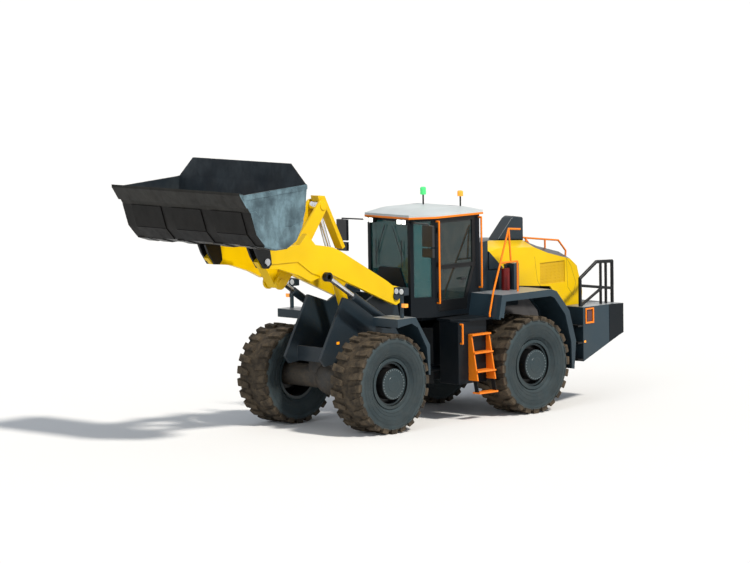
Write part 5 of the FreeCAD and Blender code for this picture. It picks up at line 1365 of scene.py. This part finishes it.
@dataclass
class Cab:
    """Cab shell, roof with its orange edge, door, seat, mirrors, wipers, ladders and extinguisher."""

    trim_top: float = 3.8765
    base_box: Box = ((-1.48, -0.17, 2.022), (-1.11, 0.17, 2.395))
    # name, corners before the lean, lean in degrees
    pads: tuple[tuple[str, Box, float], ...] = (
        ("seat_cushion", ((-1.53, -0.25, 2.40), (-1.04, 0.25, 2.535)), 0.0),
        ("seat_back", ((-1.60, -0.235, 2.56), (-1.49, 0.235, 3.15)), -9.0))
    handle_box: Box = ((-1.415, 0.8255, 2.62), (-1.285, 0.8490, 2.66))
    # the mirrors' glass is behind this place and outside this width
    mirror_x: float = -0.12
    mirror_across: float = 1.0
    # the ladders are black between these heights and inside this width
    black_heights: tuple[float, float] = (0.546, 0.76)
    black_across: float = 1.56
    # the box behind the extinguisher begins here, and the extinguisher's valve at this height
    box_x: float = -2.44
    valve_z: float = 2.775
    # a wiper's pivot, the end of its arm and the corners of its blade, on the left
    wiper_foot: Point = (-0.186, 0.10, 3.700)
    wiper_tip: Point = (-0.186, 0.34, 3.120)
    blade_box: Box = ((-0.190, 0.332, 2.93), (-0.181, 0.348, 3.42))

    def mirror_zone(self, centre: Vector, normal: Vector) -> int:
        """Finish of a face of the mirrors: 0 housing and arm, 1 glass."""
        return int(normal.x < -0.9 and centre.x < self.mirror_x and abs(centre.y) > self.mirror_across)

    def ladder_zone(self, centre: Vector, _normal: Vector) -> int:
        """Finish of a face of the ladders: 0 orange, 1 black."""
        low, high = self.black_heights
        return int(low < centre.z < high and abs(centre.y) < self.black_across)

    def fitting_zone(self, centre: Vector, _normal: Vector) -> int:
        """Finish of a face of the fender's fittings: 0 extinguisher, 1 box, 2 valve."""
        return 1 if centre.x < self.box_x else 2 if centre.z > self.valve_z else 0

    def cushion(self, name: str, low: Point, high: Point, lean: float = 0.0) -> Piece:
        """A crowned seat cushion.

        Args:
            name: its name.
            low: lowest corner.
            high: highest corner.
            lean: turn about the Y axis in degrees.

        Returns:
            The cushion.
        """
        bpy.ops.mesh.primitive_cube_add(size=1.0, location=middle(low, high),
                                        scale=Vector(high) - Vector(low),
                                        rotation=(0.0, math.radians(lean), 0.0))
        piece = Bench.settle(bpy.context.object, name)
        bpy.ops.object.mode_set(mode="EDIT")
        bpy.ops.mesh.select_all(action="SELECT")
        bpy.ops.mesh.subdivide(number_cuts=3, smoothness=0.15)
        bpy.ops.object.mode_set(mode="OBJECT")
        Bench.apply(piece, "SUBSURF", levels=2, render_levels=2)
        bpy.ops.object.shade_smooth()
        return piece

    def seat(self) -> None:
        """Seat base and its two cushions."""
        base = Bench.block("seat_base", *self.base_box, 0.02)
        Bench.fit(base, "rear_body", PLASTIC)
        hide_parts("operator_place")
        for name, (low, high), lean in self.pads:
            pad = self.cushion(name, low, high, lean)
            Bench.fit(pad, "rear_body", CLOTH)

    def wiper(self, side: Side) -> None:
        """One wiper on the windscreen.

        Args:
            side: which half of the screen it wipes.
        """
        (x0, y0, z0), (x1, y1, z1) = self.wiper_foot, self.wiper_tip
        arm = Bench.rod("wiper_arm", (x0, side.value * y0, z0), (x1, side.value * y1, z1), 0.007, 12)
        blade = Bench.block("wiper_blade", *mirrored(self.blade_box, side), 0.002)
        Bench.fit(Bench.joined("wiper_" + side.name.lower(), [arm, blade]), "rear_body", PLASTIC)

    def build(self) -> None:
        """Dresses the cab."""
        shell = Bench.softened("cab_shell", "cab_shell_finished", 0.010)
        Bench.paint(shell, DARK)
        roof = Bench.softened("cab_roof", "cab_roof_finished", 0.008)
        Bench.paint(roof, ROOF, ORANGE, choose=lambda centre, _normal: int(centre.z < self.trim_top))
        door = Bench.softened("cab_door", "cab_door_finished", 0.008)
        Bench.paint(door, BLACK)
        self.seat()
        mirrors = Bench.softened("mirrors", "mirrors_finished", 0.014)
        Bench.paint(mirrors, PLASTIC, MIRROR, choose=self.mirror_zone)
        ladders = Bench.softened("ladders", "ladders_finished", 0.004)
        Bench.paint(ladders, ORANGE, BLACK, choose=self.ladder_zone)
        fittings = Bench.softened("fender_fittings", "fender_fittings_finished", 0.012)
        Bench.paint(fittings, RED, GREY, BLACK, choose=self.fitting_zone)
        handle = Bench.block("door_handle", *self.handle_box, 0.006)
        Bench.fit(handle, "cab_door", PLASTIC)
        for side in Side:
            self.wiper(side)


@dataclass
class RearEnd:
    """Hood, stack, counterweight and their small pieces."""

    # the cut between the hood's two side colours: a point on it and its normal
    cut_point: Point = (FRONT_AXLE_X - 3.80, 0.0, 2.81)
    cut_normal: Point = (-0.665, 0.0, 0.747)
    # the hood's top is grey behind this place, and along a strip in its middle
    grey_from_x: float = FRONT_AXLE_X - 4.76
    strip_half_width: float = 0.3
    # the vent's field in the hood's side and the mesh let into it, on the left
    vent_field: Box = ((-4.250, 0.74, 2.335), (-3.540, 0.7795, 2.765))
    vent_mesh: Box = ((-4.245, 0.756, 2.345), (-3.545, 0.760, 2.755))
    # the plane of the joints, their radius, and each one's start and end in that plane
    joint_across: float = 0.7785
    joint_radius: float = 0.0035
    joints: tuple[tuple[tuple[float, float], tuple[float, float]], ...] = (
        ((-3.395, 2.900), (-3.470, 2.420)), ((-3.470, 2.420), (-3.700, 2.120)),
        ((-4.300, 2.800), (-4.420, 2.650)), ((-4.420, 2.650), (-4.560, 2.300)),
        ((-4.560, 2.300), (-4.480, 2.060)), ((-4.300, 2.800), (-4.330, 2.230)),
        ((-4.330, 2.230), (-4.480, 2.060)))
    # the hood's rear face: a point on it, and how far it goes forward for each metre up
    rear_x: float = FRONT_AXLE_X - 6.100
    rear_z: float = 2.100
    rear_lean: float = 0.040 / 0.300
    slat_count: int = 9
    slat_pitch: float = 0.028
    slat_height: float = 0.014
    slat_half_width: float = 0.430
    lowest_slat: float = 2.120
    # the counterweight is dark behind its groove and black low down in front
    groove_x: float = FRONT_AXLE_X - 6.24
    black_from_x: float = -4.14
    black_below_z: float = 1.6

    def hood_zone(self, centre: Vector, normal: Vector) -> int:
        """Finish of a face of the hood.

        Args:
            centre: the face's centre.
            normal: its normal.

        Returns:
            0 yellow, 1 vent field, 2 grey top and lower front corner.
        """
        if inside(self.vent_field, centre):
            return 1
        grey_top = abs(centre.y) < self.strip_half_width or centre.x < self.grey_from_x
        if normal.z > 0.5 and centre.z > 2.7 and grey_top:
            return 2
        return 2 if (centre - Vector(self.cut_point)).dot(Vector(self.cut_normal)) < 0.0 else 0

    def weight_zone(self, centre: Vector, _normal: Vector) -> int:
        """Finish of a face of the counterweight.

        Args:
            centre: the face's centre.
            _normal: its normal, not needed here.

        Returns:
            0 grey, 1 dark back, 2 black lower front.
        """
        if centre.x < self.groove_x - 0.02:
            return 1
        return 2 if centre.x > self.black_from_x and centre.z < self.black_below_z else 0

    def hood(self) -> None:
        """Hood with its two-colour side and vent meshes."""
        hood = Bench.softened("hood", "hood_finished", 0.010)
        Bench.only(hood)
        bpy.ops.object.mode_set(mode="EDIT")
        bpy.ops.mesh.select_all(action="SELECT")
        bpy.ops.mesh.bisect(plane_co=self.cut_point, plane_no=self.cut_normal)
        bpy.ops.object.mode_set(mode="OBJECT")
        Bench.paint(hood, YELLOW, GRILLE_YELLOW, FRAME, choose=self.hood_zone)
        for side in Side:
            mesh = Bench.block("vent_mesh_" + side.name.lower(), *mirrored(self.vent_mesh, side), 0.001)
            Bench.fit(mesh, "engine_hood", GRILLE_YELLOW)

    def seams(self) -> None:
        """Dark joints round the hood's rear corner panel and down its side."""
        for side in Side:
            y = side.value * self.joint_across
            joints = [Bench.rod("joint", (x0, y, z0), (x1, y, z1), self.joint_radius, 8)
                      for (x0, z0), (x1, z1) in self.joints]
            Bench.fit(Bench.joined("hood_joints_" + side.name.lower(), joints), "engine_hood", DARK)

    def rear_grille(self) -> None:
        """Slatted grille let on to the hood's rear face."""
        slats = []
        for k in range(self.slat_count):
            z = self.lowest_slat + self.slat_pitch * k
            x = self.rear_x + (z - self.rear_z) * self.rear_lean - 0.004
            slats.append(Bench.block("slat", (x - 0.008, -self.slat_half_width, z),
                                     (x + 0.006, self.slat_half_width, z + self.slat_height), 0.002))
        Bench.fit(Bench.joined("rear_grille", slats), "engine_hood", DARK)

    def build(self) -> None:
        """Dresses the rear of the machine."""
        self.hood()
        self.seams()
        self.rear_grille()
        stack = Bench.softened("intake_stack", "intake_stack_finished", 0.030)
        Bench.paint(stack, FRAME)
        weight = Bench.softened("counterweight", "counterweight_finished", 0.022)
        Bench.paint(weight, GREY, DARK, BLACK, choose=self.weight_zone)


def main() -> None:
    """Builds every sub-assembly in order."""
    logging.basicConfig(level=logging.INFO, format="%(name)s: %(message)s")
    for other in list(bpy.context.selected_objects):
        other.select_set(False)
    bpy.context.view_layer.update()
    bpy.context.scene.view_settings.view_transform = "Standard"
    for assembly in (Studio(), PlainDress(), Wheels(), Bucket(), Linkage(), Lamps(), Cab(), RearEnd()):
        assembly.build()
        LOG.info("%s done", type(assembly).__name__)


if __name__ == "__main__":
    main()
